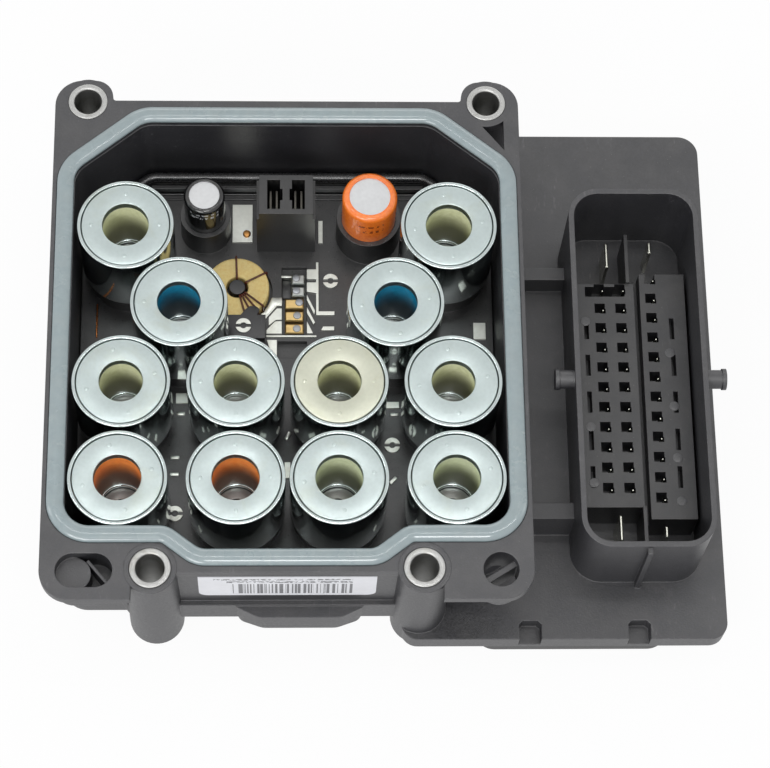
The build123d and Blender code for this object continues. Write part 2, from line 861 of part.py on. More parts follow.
def make_deck():
    """Moulded carrier on the pocket floor: coil seats, capacitor cups, windows."""
    low = -deck_level - deck_thickness
    solid = slab(pocket_outline(-deck_gap), low, -deck_level)
    for name, x, y, bore in coil_places():
        solid += round_bar(x, y, seat_radius, -deck_level, -coil_height)
    solid += cup(small_cap_x, small_cap_y, small_cap_radius, small_cup_level)
    solid += cup(large_cap_x, large_cap_y, large_cap_radius, large_cup_level)
    rib_half = pocket_half_width - rear_cut_x
    rib_face = rectangle(-rib_half, rib_half, pocket_back - rear_rib_front, pocket_back - rear_rib_back)
    rib = slab(rib_face, -deck_level, -deck_level + rear_rib_height)
    solid += chamfer(rib.edges().group_by(Axis.Z)[-1], rear_rib_bevel)
    for name, x, y, bore in coil_places():
        solid -= round_bar(x, y, seat_bore_radius, low, -coil_height)
        for angle in terminal_angles:
            solid -= Pos(x, y, 0) * terminal_bar(angle, low, -coil_height, terminal_gap)
    window_low = -deck_level - window_depth
    solid -= block(window_left, window_right, window_front, window_back, window_low, -deck_level)
    small = rectangle(small_window_left, window_right, small_window_front, small_window_back)
    solid -= slab(small, window_low, -deck_level)
    solid -= round_bar(choke_x, choke_y, recess_radius, -recess_level, -deck_level)
    return solid


def choke_levels():
    """Lower and upper level of the choke ring."""
    low = -recess_level + turn_gap + turn_thickness
    return low, low + choke_height


def make_choke_core():
    """Flat ring with rounded edges."""
    low, high = choke_levels()
    solid = tube(choke_x, choke_y, choke_bore_radius, choke_radius, low, high)
    return fillet(solid.edges().group_by(Axis.Z)[-1], choke_round)


def make_choke_turns():
    """Wire turns round the ring's section."""
    low, high = choke_levels()
    turns = []
    for angle in choke_turn_angles:
        inner = choke_bore_radius - turn_gap
        outer = choke_radius + turn_gap
        hole = Pos((inner + outer) / 2, 0, (low + high) / 2) * Box(
            outer - inner, turn_width * 2, high - low + 2 * turn_gap
        )
        frame = Pos((inner + outer) / 2, 0, (low + high) / 2) * Box(
            outer - inner + 2 * turn_thickness, turn_width, high - low + 2 * turn_gap + 2 * turn_thickness
        )
        turns.append(Pos(choke_x, choke_y, 0) * Rot(0, 0, angle) * (frame - hole))
    return turns


def make_cap_can(x, y, radius, top):
    """Aluminium can of a capacitor with a rounded shoulder."""
    body_radius = radius - sleeve_thickness - sleeve_gap
    solid = round_bar(x, y, body_radius, -deck_level + cap_foot_gap, -top)
    return fillet(solid.edges().group_by(Axis.Z)[-1], cap_shoulder)


def make_cap_sleeve(x, y, radius, top):
    """Plastic sleeve shrunk round a capacitor, with its lip on the top."""
    bore = radius - sleeve_thickness
    low = -deck_level + cap_foot_gap
    high = -top + sleeve_thickness
    solid = round_bar(x, y, radius, low, high)
    solid = fillet(solid.edges().group_by(Axis.Z)[-1], cap_shoulder)
    inside = round_bar(x, y, bore, low, -top)
    inside = fillet(inside.edges().group_by(Axis.Z)[-1], cap_shoulder)
    return solid - inside - round_bar(x, y, radius * cap_lip_share, -top - 1.0, high)


def socket_slots():
    """Middles of the two slots, with the side that each lies on."""
    return [(side, socket_x + side * socket_slot_pitch / 2) for side in (-1, 1)]


def make_socket():
    """Block with two slots that narrow the web between them."""
    front = socket_y - socket_depth / 2
    back = socket_y + socket_depth / 2
    neck = -socket_top - socket_head_height
    half = socket_width / 2
    head_half = socket_head_width / 2
    solid = block(socket_x - half, socket_x + half, front, back, -deck_level, neck)
    solid += block(socket_x - head_half, socket_x + head_half, front, back, neck, -socket_top)
    low = -socket_top - socket_slot_depth
    for side, x in socket_slots():
        slot = Pos(x, socket_y) * Rectangle(socket_slot_width, socket_slot_length)
        key = Pos(x - side * socket_slot_width / 2, socket_y) * Rectangle(socket_key_width, socket_key_length)
        solid -= slab(slot + key, low, -socket_top)
    return solid


def make_forks():
    """Two forked spring contacts in the socket's slots."""
    forks = []
    low = -socket_top - socket_slot_depth
    for side, x in socket_slots():
        foot = Pos(x, socket_y) * Rectangle(2 * fork_spread + fork_thickness, fork_width)
        fork = slab(foot, low, low + fork_foot)
        for arm in (-fork_spread, fork_spread):
            profile = Pos(x + arm, socket_y) * Rectangle(fork_thickness, fork_width)
            fork += slab(profile, low + fork_foot, -socket_top - fork_drop)
        forks.append(fork)
    return forks


def pin_places():
    """Middles of all pins, column by column."""
    columns = [
        (left_pin_x, left_pin_start, left_pin_count),
        (middle_pin_x, left_pin_start, left_pin_count),
        (right_pin_x, right_pin_start, right_pin_count),
    ]
    return [(x, start - number * pin_pitch) for x, start, count in columns for number in range(count)]


def make_guide():
    """Block round the pins with one square hole for each, a groove and side key slots."""
    low = -plate_level
    high = -guide_level
    solid = block(guide_left, guide_split_x, -guide_front_left, guide_back_left, low, high)
    solid += block(guide_split_x, guide_right, -guide_front_right, guide_back_right, low, high)
    rear_fin = rectangle(
        fin_x - fin_thickness / 2, fin_x + fin_thickness / 2, guide_back_left, shroud_back - fin_rear_gap
    )
    front_fin = rectangle(
        fin_x + fin_thickness, fin_x + 2 * fin_thickness, -shroud_front + fin_front_gap, -guide_front_left
    )
    solid += slab(rear_fin, low, high + fin_drop)
    solid += slab(front_fin, low, high + fin_drop)
    groove_length = guide_back_right + guide_front_right
    groove_y = (guide_back_right - guide_front_right) / 2
    groove = Pos(guide_split_x, groove_y) * Rectangle(guide_groove, groove_length)
    solid -= slab(groove, high - guide_groove_depth, high)
    trench = Pos((guide_left + guide_split_x) / 2, left_pin_start) * Rectangle(
        guide_split_x - guide_left - 2 * guide_trench_inset, guide_trench_width
    )
    solid -= slab(trench, high - pin_hole_depth, high)
    for x, y in pin_places():
        cell = Pos(x - pin_offset, y + pin_offset) * Rectangle(pin_hole, pin_hole)
        bore = Pos(x, y) * Rectangle(2 * pin_size, 2 * pin_size)
        solid -= slab(cell, high - pin_hole_depth, high)
        solid -= slab(bore, low, high)
    for number in range(key_slot_count):
        back = key_slot_start - number * key_slot_pitch
        for left in (guide_left + key_slot_inset_left, guide_right - key_slot_inset_right):
            key = rectangle(left, left + key_slot_width, back - key_slot_length, back)
            solid -= slab(key, high - key_slot_depth, high)
    return solid


def make_pins():
    """Three rows of square pins, standing in the plate."""
    length = plate_level - guide_level + pin_stand
    pin = Box(pin_size, pin_size, length, align=standing)
    pin = chamfer(pin.edges().group_by(Axis.Z)[-1], pin_size / 4)
    return [Pos(x, y, -plate_level) * pin for x, y in pin_places()]


def make_blades():
    """Four flat blades for the supply and the ground, two at each end of the guide."""
    blades = [
        (left_pin_x + 1.5, guide_back_left + 7.7, wide_blade),
        (right_pin_x - 0.4, guide_back_right + 7.2, narrow_blade),
        (left_pin_x + 1.9, -guide_front_left - 5.1, wide_blade),
        (right_pin_x + 0.1, -guide_front_right - 3.1, narrow_blade),
    ]
    result = []
    for x, y, width in blades:
        blade = Pos(x, y, -plate_level) * Box(blade_thickness, width, blade_rise, align=standing)
        result.append(chamfer(blade.edges().group_by(Axis.Z)[-1], blade_chamfer))
    return result


def make_board():
    """Circuit board under the deck, pressed against the housing's inner lip."""
    high = lip_level()
    solid = slab(pocket_outline(-board_gap), high - board_thickness, high)
    for x in (-pocket_half_width + board_notch, pocket_half_width - board_notch):
        solid -= round_bar(x, -pocket_front + board_notch, board_hole_radius, high - board_thickness, high)
    return solid


def make_chips():
    """Controller, driver and smaller chips on the board's lower side."""
    high = lip_level() - board_thickness
    result = []
    for x, y, width, depth in chips:
        chip = block(x - width / 2, x + width / 2, y - depth / 2, y + depth / 2, high - chip_height, high)
        result.append(chamfer(chip.edges().group_by(Axis.Z)[0], chip_height / 5))
    return result


def pan_outline(shrink=0.0):
    """Outline of the lid's raised pan with its tongue under the plug plate."""
    left = pan_left + shrink
    right = pan_right - shrink
    front = -pan_front + shrink
    tongue_front = -pan_tongue_front + shrink
    tongue_left = pan_tongue_left + shrink
    return outline(
        [
            (left, front, pan_radius),
            (left, pan_back - shrink, pan_radius),
            (right, pan_back - shrink, pan_radius),
            (right, tongue_front, pan_radius),
            (tongue_left, tongue_front, pan_radius),
            (tongue_left, front, 0.0),
        ]
    )


def make_cover():
    """Lid on the underside: a plate pressed out into a pan, with posts that carry the board."""
    high = -plate_level - plate_thickness
    low = high - cover_thickness
    foot = low - pan_depth
    solid = slab(base_outline(cover_inset), low, high) + slab(pan_outline(), foot, low)
    solid -= slab(pan_outline(pan_wall), foot + pan_wall, high)
    board_low = lip_level() - board_thickness
    for x in (-pocket_half_width + board_notch, pocket_half_width - board_notch):
        for y in (-pocket_front + board_notch, pocket_back - rear_cut_y - board_notch):
            solid += round_bar(x, y, board_post_radius, foot + pan_wall / 2, board_low)
    for x, y in bolt_places():
        solid -= round_bar(x, y, pillar_foot_radius + cover_inset, foot, high)
    return solid


def make_label():
    """Plain plate on the front wall, rounded at its lower corners."""
    face = outline(
        [
            (-label_width / 2, -label_drop, 0.0),
            (label_width / 2, -label_drop, 0.0),
            (label_width / 2, -label_drop - label_height, label_radius),
            (-label_width / 2, -label_drop - label_height, label_radius),
        ]
    )
    front = -apron_front + apron_inset
    return Pos(0, front, 0) * Rot(90, 0, 0) * extrude(face, label_thickness)


def build_all():
    """Every piece by name, in the working frame."""
    small = (small_cap_x, small_cap_y, small_cap_radius, small_cap_top)
    large = (large_cap_x, large_cap_y, large_cap_radius, large_cap_top)
    pieces = {
        "housing": [make_housing()],
        "cover": [make_cover()],
        "gasket": [make_gasket()],
        "mounting_bushings": make_bushings(),
        "deck": [make_deck()],
        "circuit_board": [make_board()],
        "board_chips": make_chips(),
        "lead_frame": make_strips(),
        "weld_pads": make_pads(),
        "motor_socket": [make_socket()],
        "motor_forks": make_forks(),
        "small_capacitor_can": [make_cap_can(*small)],
        "small_capacitor_sleeve": [make_cap_sleeve(*small)],
        "large_capacitor_can": [make_cap_can(*large)],
        "large_capacitor_sleeve": [make_cap_sleeve(*large)],
        "choke_core": [make_choke_core()],
        "choke_winding": make_choke_turns(),
        "pin_guide": [make_guide()],
        "signal_pins": make_pins(),
        "power_blades": make_blades(),
        "label": [make_label()],
        "coil_windings": [],
        "coil_terminals": [],
    }
    for name, x, y, bore in coil_places():
        pieces[f"coil_can_{name}"] = [make_can(x, y, bore)]
        pieces[f"pole_plate_{name}"] = [make_pole(x, y, bore)]
        pieces[f"bobbin_{name}"] = [make_bobbin(x, y, bore)]
        pieces["coil_windings"].append(make_winding(x, y, bore))
        pieces["coil_terminals"] += make_terminals(x, y)
    return pieces


def main():
    """Moves every piece to the final frame and writes one file for each."""
    pieces = build_all()
    boxes = [solid.bounding_box() for solids in pieces.values() for solid in solids]
    low_x = min(box.min.X for box in boxes)
    high_x = max(box.max.X for box in boxes)
    low_y = min(box.min.Y for box in boxes)
    high_y = max(box.max.Y for box in boxes)
    low_z = min(box.min.Z for box in boxes)
    shift = Pos(-(low_x + high_x) / 2, -(low_y + high_y) / 2, -low_z)
    print("shift to the final frame", shift.position)
    os.makedirs("parts", exist_ok=True)
    for name, solids in pieces.items():
        moved = [shift * solid for solid in solids]
        shape = moved[0] if len(moved) == 1 else Compound(children=moved)
        export_step(shape, f"parts/{name}.step")


main()
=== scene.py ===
import math

import bmesh
import bpy
from mathutils import Matrix, Vector


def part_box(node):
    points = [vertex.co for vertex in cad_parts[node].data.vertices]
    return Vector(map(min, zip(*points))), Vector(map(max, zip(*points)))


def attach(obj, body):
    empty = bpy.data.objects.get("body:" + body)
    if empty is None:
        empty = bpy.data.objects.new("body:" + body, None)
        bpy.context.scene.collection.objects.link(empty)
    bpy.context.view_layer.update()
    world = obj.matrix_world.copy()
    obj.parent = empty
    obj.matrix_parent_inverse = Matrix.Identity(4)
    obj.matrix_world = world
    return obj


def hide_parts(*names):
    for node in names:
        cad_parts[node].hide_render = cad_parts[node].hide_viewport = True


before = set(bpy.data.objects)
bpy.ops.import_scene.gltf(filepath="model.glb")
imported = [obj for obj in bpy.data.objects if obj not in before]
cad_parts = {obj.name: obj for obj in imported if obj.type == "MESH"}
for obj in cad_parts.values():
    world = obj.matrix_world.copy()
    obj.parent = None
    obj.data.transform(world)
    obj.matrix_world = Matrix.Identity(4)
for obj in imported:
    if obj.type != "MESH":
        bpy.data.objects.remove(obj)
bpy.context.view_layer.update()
mm = 0.001


def middleOf(node):
    low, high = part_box(node)
    return (low + high) / 2


# The working origin: middle of the coil pocket, row of four coils, flange face.
origin = Vector(
    (
        (middleOf("coil_can_d2").x + middleOf("coil_can_d3").x) / 2,
        middleOf("coil_can_c1").y,
        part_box("housing")[1].z,
    )
)


def spot(x, y, z=0.0):  # millimetres from the working origin, turned into the frame's metres
    return origin + Vector((x, y, z)) * mm


# Camera, lights and floor
studio = {
    "cameraPlace": (-0.659, -226.631, 567.347),  # mm from the working origin
    "cameraRight": (0.99926822, -0.01391643, 0.035628),
    "cameraUp": (-0.000244, 0.929128, 0.369758),
    "lens": 122.49,
    "floorReach": 2.5,
    "floorWhite": 0.94,
    "worldFill": 0.57,
    "lamps": [
        # name, direction to the lamp, distance, size x, size y, power
        ("frontKey", (-0.38, -0.66, 0.65), 0.95, 0.50, 0.30, 2.9),
        ("cameraSoft", (0.04, -0.36, 0.93), 1.2, 0.30, 0.20, 2.1),
        ("topStrip", (0.02, 0.14, 0.99), 1.0, 0.80, 0.025, 0.8),
        ("rearTop", (0.05, 0.88, 0.48), 1.1, 0.90, 0.30, 1.2),
        ("leftFill", (-0.85, 0.05, 0.55), 1.1, 0.20, 0.60, 0.8),
        ("rightFill", (0.85, 0.10, 0.55), 1.1, 0.20, 0.60, 0.5),
    ],
}


def makeCamera():
    right = Vector(studio["cameraRight"]).normalized()
    up = Vector(studio["cameraUp"]).normalized()
    back = right.cross(up).normalized()
    up = back.cross(right)
    data = bpy.data.cameras.new("photoCamera")
    data.lens = studio["lens"]
    data.sensor_width = 36.0
    data.sensor_fit = "HORIZONTAL"
    data.clip_start = 0.01
    data.clip_end = 20.0
    camera = bpy.data.objects.new("photoCamera", data)
    turned = Matrix((right, up, back)).transposed().to_4x4()
    camera.matrix_world = Matrix.Translation(spot(*studio["cameraPlace"])) @ turned
    bpy.context.scene.collection.objects.link(camera)
    bpy.context.scene.camera = camera


def makeLamps():
    target = middleOf("housing")
    for name, direction, distance, sizeX, sizeY, power in studio["lamps"]:
        data = bpy.data.lights.new(name, "AREA")
        data.shape = "RECTANGLE"
        data.size = sizeX
        data.size_y = sizeY
        data.energy = power
        lamp = bpy.data.objects.new(name, data)
        away = Vector(direction).normalized()
        turned = away.to_track_quat("Z", "Y").to_matrix().to_4x4()
        lamp.matrix_world = Matrix.Translation(target + away * distance) @ turned
        bpy.context.scene.collection.objects.link(lamp)


def put(tree, kind, inputs=None, **settings):  # one node, with its settings and its inputs
    made = tree.nodes.new(kind)
    for key, value in settings.items():
        setattr(made, key, value)
    for key, value in (inputs or {}).items():
        if isinstance(value, bpy.types.NodeSocket):
            tree.links.new(value, made.inputs[key])
        else:
            made.inputs[key].default_value = value
    return made


def calculate(tree, operation, first, second=0.0, third=None, clamp=False):
    inputs = {0: first, 1: second}
    if third is not None:
        inputs[2] = third
    return put(tree, "ShaderNodeMath", inputs, operation=operation, use_clamp=clamp).outputs[0]


def product(tree, first, second, clamp=False):
    return calculate(tree, "MULTIPLY", first, second, clamp=clamp)


def blendColour(tree, factor, first, second, mode="MIX"):
    made = put(tree, "ShaderNodeMix", {0: factor, 6: first, 7: second}, data_type="RGBA", blend_type=mode)
    return made.outputs[2]


def seenDirect(tree):  # 1 for camera, mirror and glass rays
    path = put(tree, "ShaderNodeLightPath")
    both = calculate(tree, "ADD", path.outputs["Is Camera Ray"], path.outputs["Is Glossy Ray"])
    return calculate(tree, "ADD", both, path.outputs["Is Transmission Ray"], clamp=True)


def makeWorld():
    world = bpy.data.worlds.new("studioWorld")
    world.use_nodes = True
    tree = world.node_tree
    background = tree.nodes["Background"]
    fill = studio["worldFill"]
    shade = blendColour(tree, seenDirect(tree), (fill, fill, fill * 1.01, 1.0), (1.0, 1.0, 1.0, 1.0))
    tree.links.new(shade, background.inputs["Color"])
    bpy.context.scene.world = world


def makeFloor():
    material = bpy.data.materials.new("paleFloor")
    material.use_nodes = True
    tree = material.node_tree
    tree.nodes.remove(tree.nodes["Principled BSDF"])
    matte = put(tree, "ShaderNodeBsdfDiffuse", {"Color": (0.85, 0.85, 0.86, 1.0)})
    white = put(tree, "ShaderNodeEmission", {"Color": (1.0, 1.0, 1.0, 1.0), "Strength": 1.0})
    share = product(tree, seenDirect(tree), studio["floorWhite"])
    mixed = put(tree, "ShaderNodeMixShader", {0: share, 1: matte.outputs[0], 2: white.outputs[0]})
    tree.links.new(mixed.outputs[0], tree.nodes["Material Output"].inputs["Surface"])
    reach = studio["floorReach"]
    mesh = bpy.data.meshes.new("paleFloor")
    corners = [(-reach, -reach, 0), (reach, -reach, 0), (reach, reach, 0), (-reach, reach, 0)]
    mesh.from_pydata(corners, [], [(0, 1, 2, 3)])
    mesh.materials.append(material)
    floor = bpy.data.objects.new("paleFloor", mesh)
    bpy.context.scene.collection.objects.link(floor)


makeCamera()
makeLamps()
makeWorld()
makeFloor()
bpy.context.scene.view_settings.view_transform = "Standard"
print("stage: camera, lamps and floor")


# Shared shader groups put out masks, values and normals only
def shaderGroup(name, inputs, outputs):
    group = bpy.data.node_groups.new(name, "ShaderNodeTree")
    for label, value in inputs:
        socket = group.interface.new_socket(name=label, in_out="INPUT", socket_type="NodeSocketFloat")
        socket.default_value = value
    for label, kind in outputs:
        group.interface.new_socket(name=label, in_out="OUTPUT", socket_type=kind)
    start = group.nodes.new("NodeGroupInput")
    end = group.nodes.new("NodeGroupOutput")
    return group, start, end


def objectPlace(tree):
    return put(tree, "ShaderNodeTexCoord").outputs["Object"]


def noise(tree, place, scale, detail=3.0, rough=0.55, distortion=0.0):
    inputs = {"Vector": place, "Scale": scale, "Detail": detail, "Roughness": rough, "Distortion": distortion}
    return put(tree, "ShaderNodeTexNoise", inputs).outputs["Fac"]


def spread(tree, value, low, high, newLow=0.0, newHigh=1.0):  # stretches a value between two limits
    inputs = {"Value": value, "From Min": low, "From Max": high, "To Min": newLow, "To Max": newHigh}
    return put(tree, "ShaderNodeMapRange", inputs).outputs["Result"]


def makeEdgeWear():
    group, start, end = shaderGroup(
        "edgeWear",
        [("Radius", 0.0003), ("Reach", 4.0), ("Patches", 700.0)],
        [("Mask", "NodeSocketFloat"), ("Normal", "NodeSocketVector")],
    )
    bevel = put(group, "ShaderNodeBevel", {"Radius": start.outputs["Radius"]}, samples=6)
    plain = put(group, "ShaderNodeNewGeometry")
    same = put(
        group, "ShaderNodeVectorMath", {0: bevel.outputs[0], 1: plain.outputs["Normal"]}, operation="DOT_PRODUCT"
    )
    turned = calculate(group, "SUBTRACT", 1.0, same.outputs["Value"], clamp=True)
    strong = product(group, turned, start.outputs["Reach"], clamp=True)
    patch = spread(group, noise(group, objectPlace(group), start.outputs["Patches"]), 0.38, 0.62)
    mask = product(group, strong, patch, clamp=True)
    group.links.new(mask, end.inputs["Mask"])
    group.links.new(bevel.outputs[0], end.inputs["Normal"])
    return group


def makeMouldGrain():
    group, start, end = shaderGroup(
        "mouldGrain",
        [("Grain", 2600.0), ("Clouds", 90.0)],
        [("Height", "NodeSocketFloat"), ("Tone", "NodeSocketFloat"), ("Scuffs", "NodeSocketFloat")],
    )
    place = objectPlace(group)
    fine = noise(group, place, start.outputs["Grain"], 2.0)
    clouds = noise(group, place, start.outputs["Clouds"], 5.0, 0.6)
    slanted = {"Vector": place, "Scale": (1.0, 0.22, 1.0), "Rotation": (0.0, 0.0, 0.7)}
    stretched = put(group, "ShaderNodeMapping", slanted)
    streaks = noise(group, stretched.outputs[0], 1500.0, 2.0, 0.4, 0.3)
    scuffs = calculate(
        group, "MULTIPLY", spread(group, streaks, 0.62, 0.74), spread(group, clouds, 0.5, 0.7), clamp=True
    )
    tone = product(group, spread(group, fine, 0.3, 0.7, 0.6, 1.4), spread(group, clouds, 0.3, 0.7, 0.85, 1.15))
    group.links.new(fine, end.inputs["Height"])
    group.links.new(tone, end.inputs["Tone"])
    group.links.new(scuffs, end.inputs["Scuffs"])
    return group


def makeDustFilm():
    group, start, end = shaderGroup(
        "dustFilm",
        [("Amount", 0.3), ("Patches", 160.0)],
        [("Mask", "NodeSocketFloat"), ("Specks", "NodeSocketFloat")],
    )
    place = objectPlace(group)
    geometry = put(group, "ShaderNodeNewGeometry")
    upward = put(group, "ShaderNodeSeparateXYZ", {0: geometry.outputs["Normal"]}).outputs["Z"]
    lying = calculate(group, "POWER", calculate(group, "MAXIMUM", upward, 0.0), 3.0)
    patch = spread(group, noise(group, place, start.outputs["Patches"], 6.0, 0.65), 0.4, 0.72)
    mask = product(group, product(group, lying, patch), start.outputs["Amount"], clamp=True)
    cells = put(group, "ShaderNodeTexVoronoi", {"Vector": place, "Scale": 520.0, "Randomness": 1.0})
    speck = calculate(group, "LESS_THAN", cells.outputs["Distance"], 0.07)
    specks = product(group, speck, product(group, lying, start.outputs["Amount"]), clamp=True)
    group.links.new(mask, end.inputs["Mask"])
    group.links.new(specks, end.inputs["Specks"])
    return group


def makePlating():
    group, start, end = shaderGroup(
        "zincPlating",
        [("Clouds", 130.0), ("Lines", 900.0)],
        [("Tone", "NodeSocketFloat"), ("Stain", "NodeSocketFloat"), ("Height", "NodeSocketFloat")],
    )
    place = objectPlace(group)
    clouds = noise(group, place, start.outputs["Clouds"], 6.0, 0.62, 0.4)
    crystals = put(group, "ShaderNodeTexVoronoi", {"Vector": place, "Scale": 1300.0}, feature="SMOOTH_F1")
    tall = put(group, "ShaderNodeMapping", {"Vector": place, "Scale": (1.0, 1.0, 0.04)})
    lines = noise(group, tall.outputs[0], start.outputs["Lines"], 3.0, 0.7)
    crystalTone = spread(group, crystals.outputs["Distance"], 0.2, 0.8, 0.97, 1.03)
    tone = product(group, spread(group, clouds, 0.3, 0.7, 0.93, 1.05), crystalTone)
    stain = spread(group, noise(group, place, 75.0, 4.0, 0.6, 1.2), 0.55, 0.78)
    group.links.new(tone, end.inputs["Tone"])
    group.links.new(stain, end.inputs["Stain"])
    group.links.new(lines, end.inputs["Height"])
    return group


edgeWear = makeEdgeWear()
mouldGrain = makeMouldGrain()
dustFilm = makeDustFilm()
zincPlating = makePlating()
print("stage: shader groups")


def useGroup(tree, group, **values):
    made = tree.nodes.new("ShaderNodeGroup")
    made.node_tree = group
    for key, value in values.items():
        made.inputs[key].default_value = value
    return made


def shade(red, green, blue):  # screen colour 0 to 255 to the linear colour that a shader takes
    linear = []
    for part in (red, green, blue):
        part /= 255
        linear.append(part / 12.92 if part <= 0.04045 else ((part + 0.055) / 1.055) ** 2.4)
    return (*linear, 1.0)


def newFinish(name):
    material = bpy.data.materials.new(name)
    material.use_nodes = True
    tree = material.node_tree
    return material, tree, tree.nodes["Principled BSDF"]


def setShader(tree, shader, **values):  # underscores in a key stand for spaces
    for key, value in values.items():
        label = key.replace("_", " ")
        if isinstance(value, bpy.types.NodeSocket):
            tree.links.new(value, shader.inputs[label])
        else:
            shader.inputs[label].default_value = value


def bumped(tree, height, strength, normal=None):  # fine relief, a tenth of a millimetre deep at full strength
    inputs = {"Height": height, "Strength": strength, "Distance": 0.1 * mm}
    if normal is not None:
        inputs["Normal"] = normal
    return put(tree, "ShaderNodeBump", inputs).outputs[0]


def scaled(tree, colour, tone):  # a colour times a value
    return put(tree, "ShaderNodeVectorMath", {0: colour[:3], 1: tone}, operation="MULTIPLY").outputs[0]


# Moulded plastics: screen colours 0 to 255, bevel in metres, the rest as the shader takes them
plasticsColumns = ("colour", "worn", "rough", "depth", "grain", "wear", "dust", "bevel", "gloss")
plasticsRows = {
    "housingPlastic": ((36, 36, 40), (132, 130, 134), 0.44, 0.055, 2300.0, 0.3, 0.1, 0.00035, 0.85),
    "coverPlastic": ((26, 26, 28), (92, 91, 92), 0.5, 0.05, 2300.0, 0.25, 0.08, 0.0004, 0.7),
    "deckPlastic": ((19, 19, 21), (70, 70, 72), 0.33, 0.03, 2600.0, 0.2, 0.12, 0.0002, 0.8),
    "socketPlastic": ((16, 16, 18), (74, 74, 76), 0.36, 0.03, 2900.0, 0.3, 0.08, 0.0002, 0.7),
    "guidePlastic": ((25, 25, 28), (84, 84, 86), 0.42, 0.04, 2600.0, 0.2, 0.1, 0.00015, 0.75),
    # the rail is deck plastic made lighter for the light on its top: painted sheen
    "railPlasticSheen": ((44, 44, 46), (110, 110, 112), 0.28, 0.006, 2600.0, 0.0, 0.05, 0.0001, 1.0),
    "ejectorPlastic": ((44, 44, 47), (110, 110, 112), 0.34, 0.03, 2600.0, 0.5, 0.1, 0.00015, 0.9),
    "chipPlastic": ((40, 40, 42), (80, 80, 82), 0.6, 0.03, 3200.0, 0.1, 0.0, 0.0001, 0.5),
}
plastics = {key: dict(zip(plasticsColumns, row)) for key, row in plasticsRows.items()}


def makePlastic(name):
    sizes = plastics[name]
    material, tree, shader = newFinish(name)
    wear = useGroup(tree, edgeWear, Radius=sizes["bevel"], Reach=3.0, Patches=600.0)
    grain = useGroup(tree, mouldGrain, Grain=sizes["grain"], Clouds=70.0)
    dust = useGroup(tree, dustFilm, Amount=sizes["dust"], Patches=140.0)
    base = scaled(tree, shade(*sizes["colour"]), grain.outputs["Tone"])
    wornShare = product(tree, wear.outputs["Mask"], sizes["wear"])
    worn = blendColour(tree, wornShare, base, shade(*sizes["worn"]))
    scuffShare = product(tree, grain.outputs["Scuffs"], 0.35)
    scuffed = blendColour(tree, scuffShare, worn, shade(*sizes["worn"]))
    dusty = blendColour(tree, dust.outputs["Mask"], scuffed, shade(120, 117, 112))
    speckled = blendColour(tree, dust.outputs["Specks"], dusty, shade(175, 172, 166))
    rough = spread(tree, grain.outputs["Height"], 0.3, 0.7, sizes["rough"] - 0.06, sizes["rough"] + 0.07)
    bump = bumped(tree, grain.outputs["Height"], sizes["depth"] * 6, wear.outputs["Normal"])
    setShader(tree, shader, Base_Color=speckled, Roughness=rough, Normal=bump, IOR=1.55)
    shader.inputs["Specular IOR Level"].default_value = sizes["gloss"]
    return material


# Metals: colour, stained colour, roughness, line depth, share of the stain
metalsColumns = ("colour", "stain", "rough", "lines", "stainShare")
metalsRows = {
    "zincCan": ((194, 204, 203), (150, 156, 140), 0.09, 0.06, 0.45),
    "zincPole": ((182, 193, 192), (172, 178, 164), 0.3, 0.0, 0.5),
    "yellowPole": ((192, 194, 178), (176, 176, 146), 0.3, 0.0, 0.6),
    "sleeveSteel": ((176, 176, 174), (120, 118, 104), 0.38, 0.1, 0.7),
    "tinnedStrip": ((222, 224, 216), (170, 166, 146), 0.34, 0.0, 0.5),
    "solder": ((160, 162, 166), (120, 112, 100), 0.36, 0.1, 0.5),
    # the forks' metal is darkened for the slots they sit in: painted shade
    "shadedForkMetal": ((96, 94, 88), (50, 48, 44), 0.35, 0.1, 0.7),
    "pinMetal": ((226, 226, 214), (150, 156, 120), 0.22, 0.05, 0.6),
    "brass": ((196, 142, 84), (110, 70, 40), 0.3, 0.0, 0.8),
    "copperWire": ((184, 112, 62), (96, 50, 28), 0.25, 0.05, 0.5),
    "capAluminium": ((198, 199, 200), (184, 184, 186), 0.42, 0.0, 0.4),
    "goldPad": ((216, 186, 128), (124, 78, 40), 0.34, 0.0, 0.9),
    "greyPad": ((186, 188, 184), (116, 80, 52), 0.36, 0.05, 0.9),
}
metals = {key: dict(zip(metalsColumns, row)) for key, row in metalsRows.items()}


def makeMetal(name):
    sizes = metals[name]
    material, tree, shader = newFinish(name)
    plating = useGroup(tree, zincPlating, Clouds=150.0, Lines=1400.0)
    wear = useGroup(tree, edgeWear, Radius=0.00012, Reach=3.0, Patches=900.0)
    base = scaled(tree, shade(*sizes["colour"]), plating.outputs["Tone"])
    share = product(tree, plating.outputs["Stain"], sizes["stainShare"])
    stained = blendColour(tree, share, base, shade(*sizes["stain"]))
    rough = spread(tree, plating.outputs["Tone"], 0.9, 1.08, sizes["rough"] + 0.07, sizes["rough"] - 0.03)
    bump = bumped(tree, plating.outputs["Height"], sizes["lines"], wear.outputs["Normal"])
    setShader(tree, shader, Base_Color=stained, Roughness=rough, Metallic=1.0, Normal=bump)
    return material


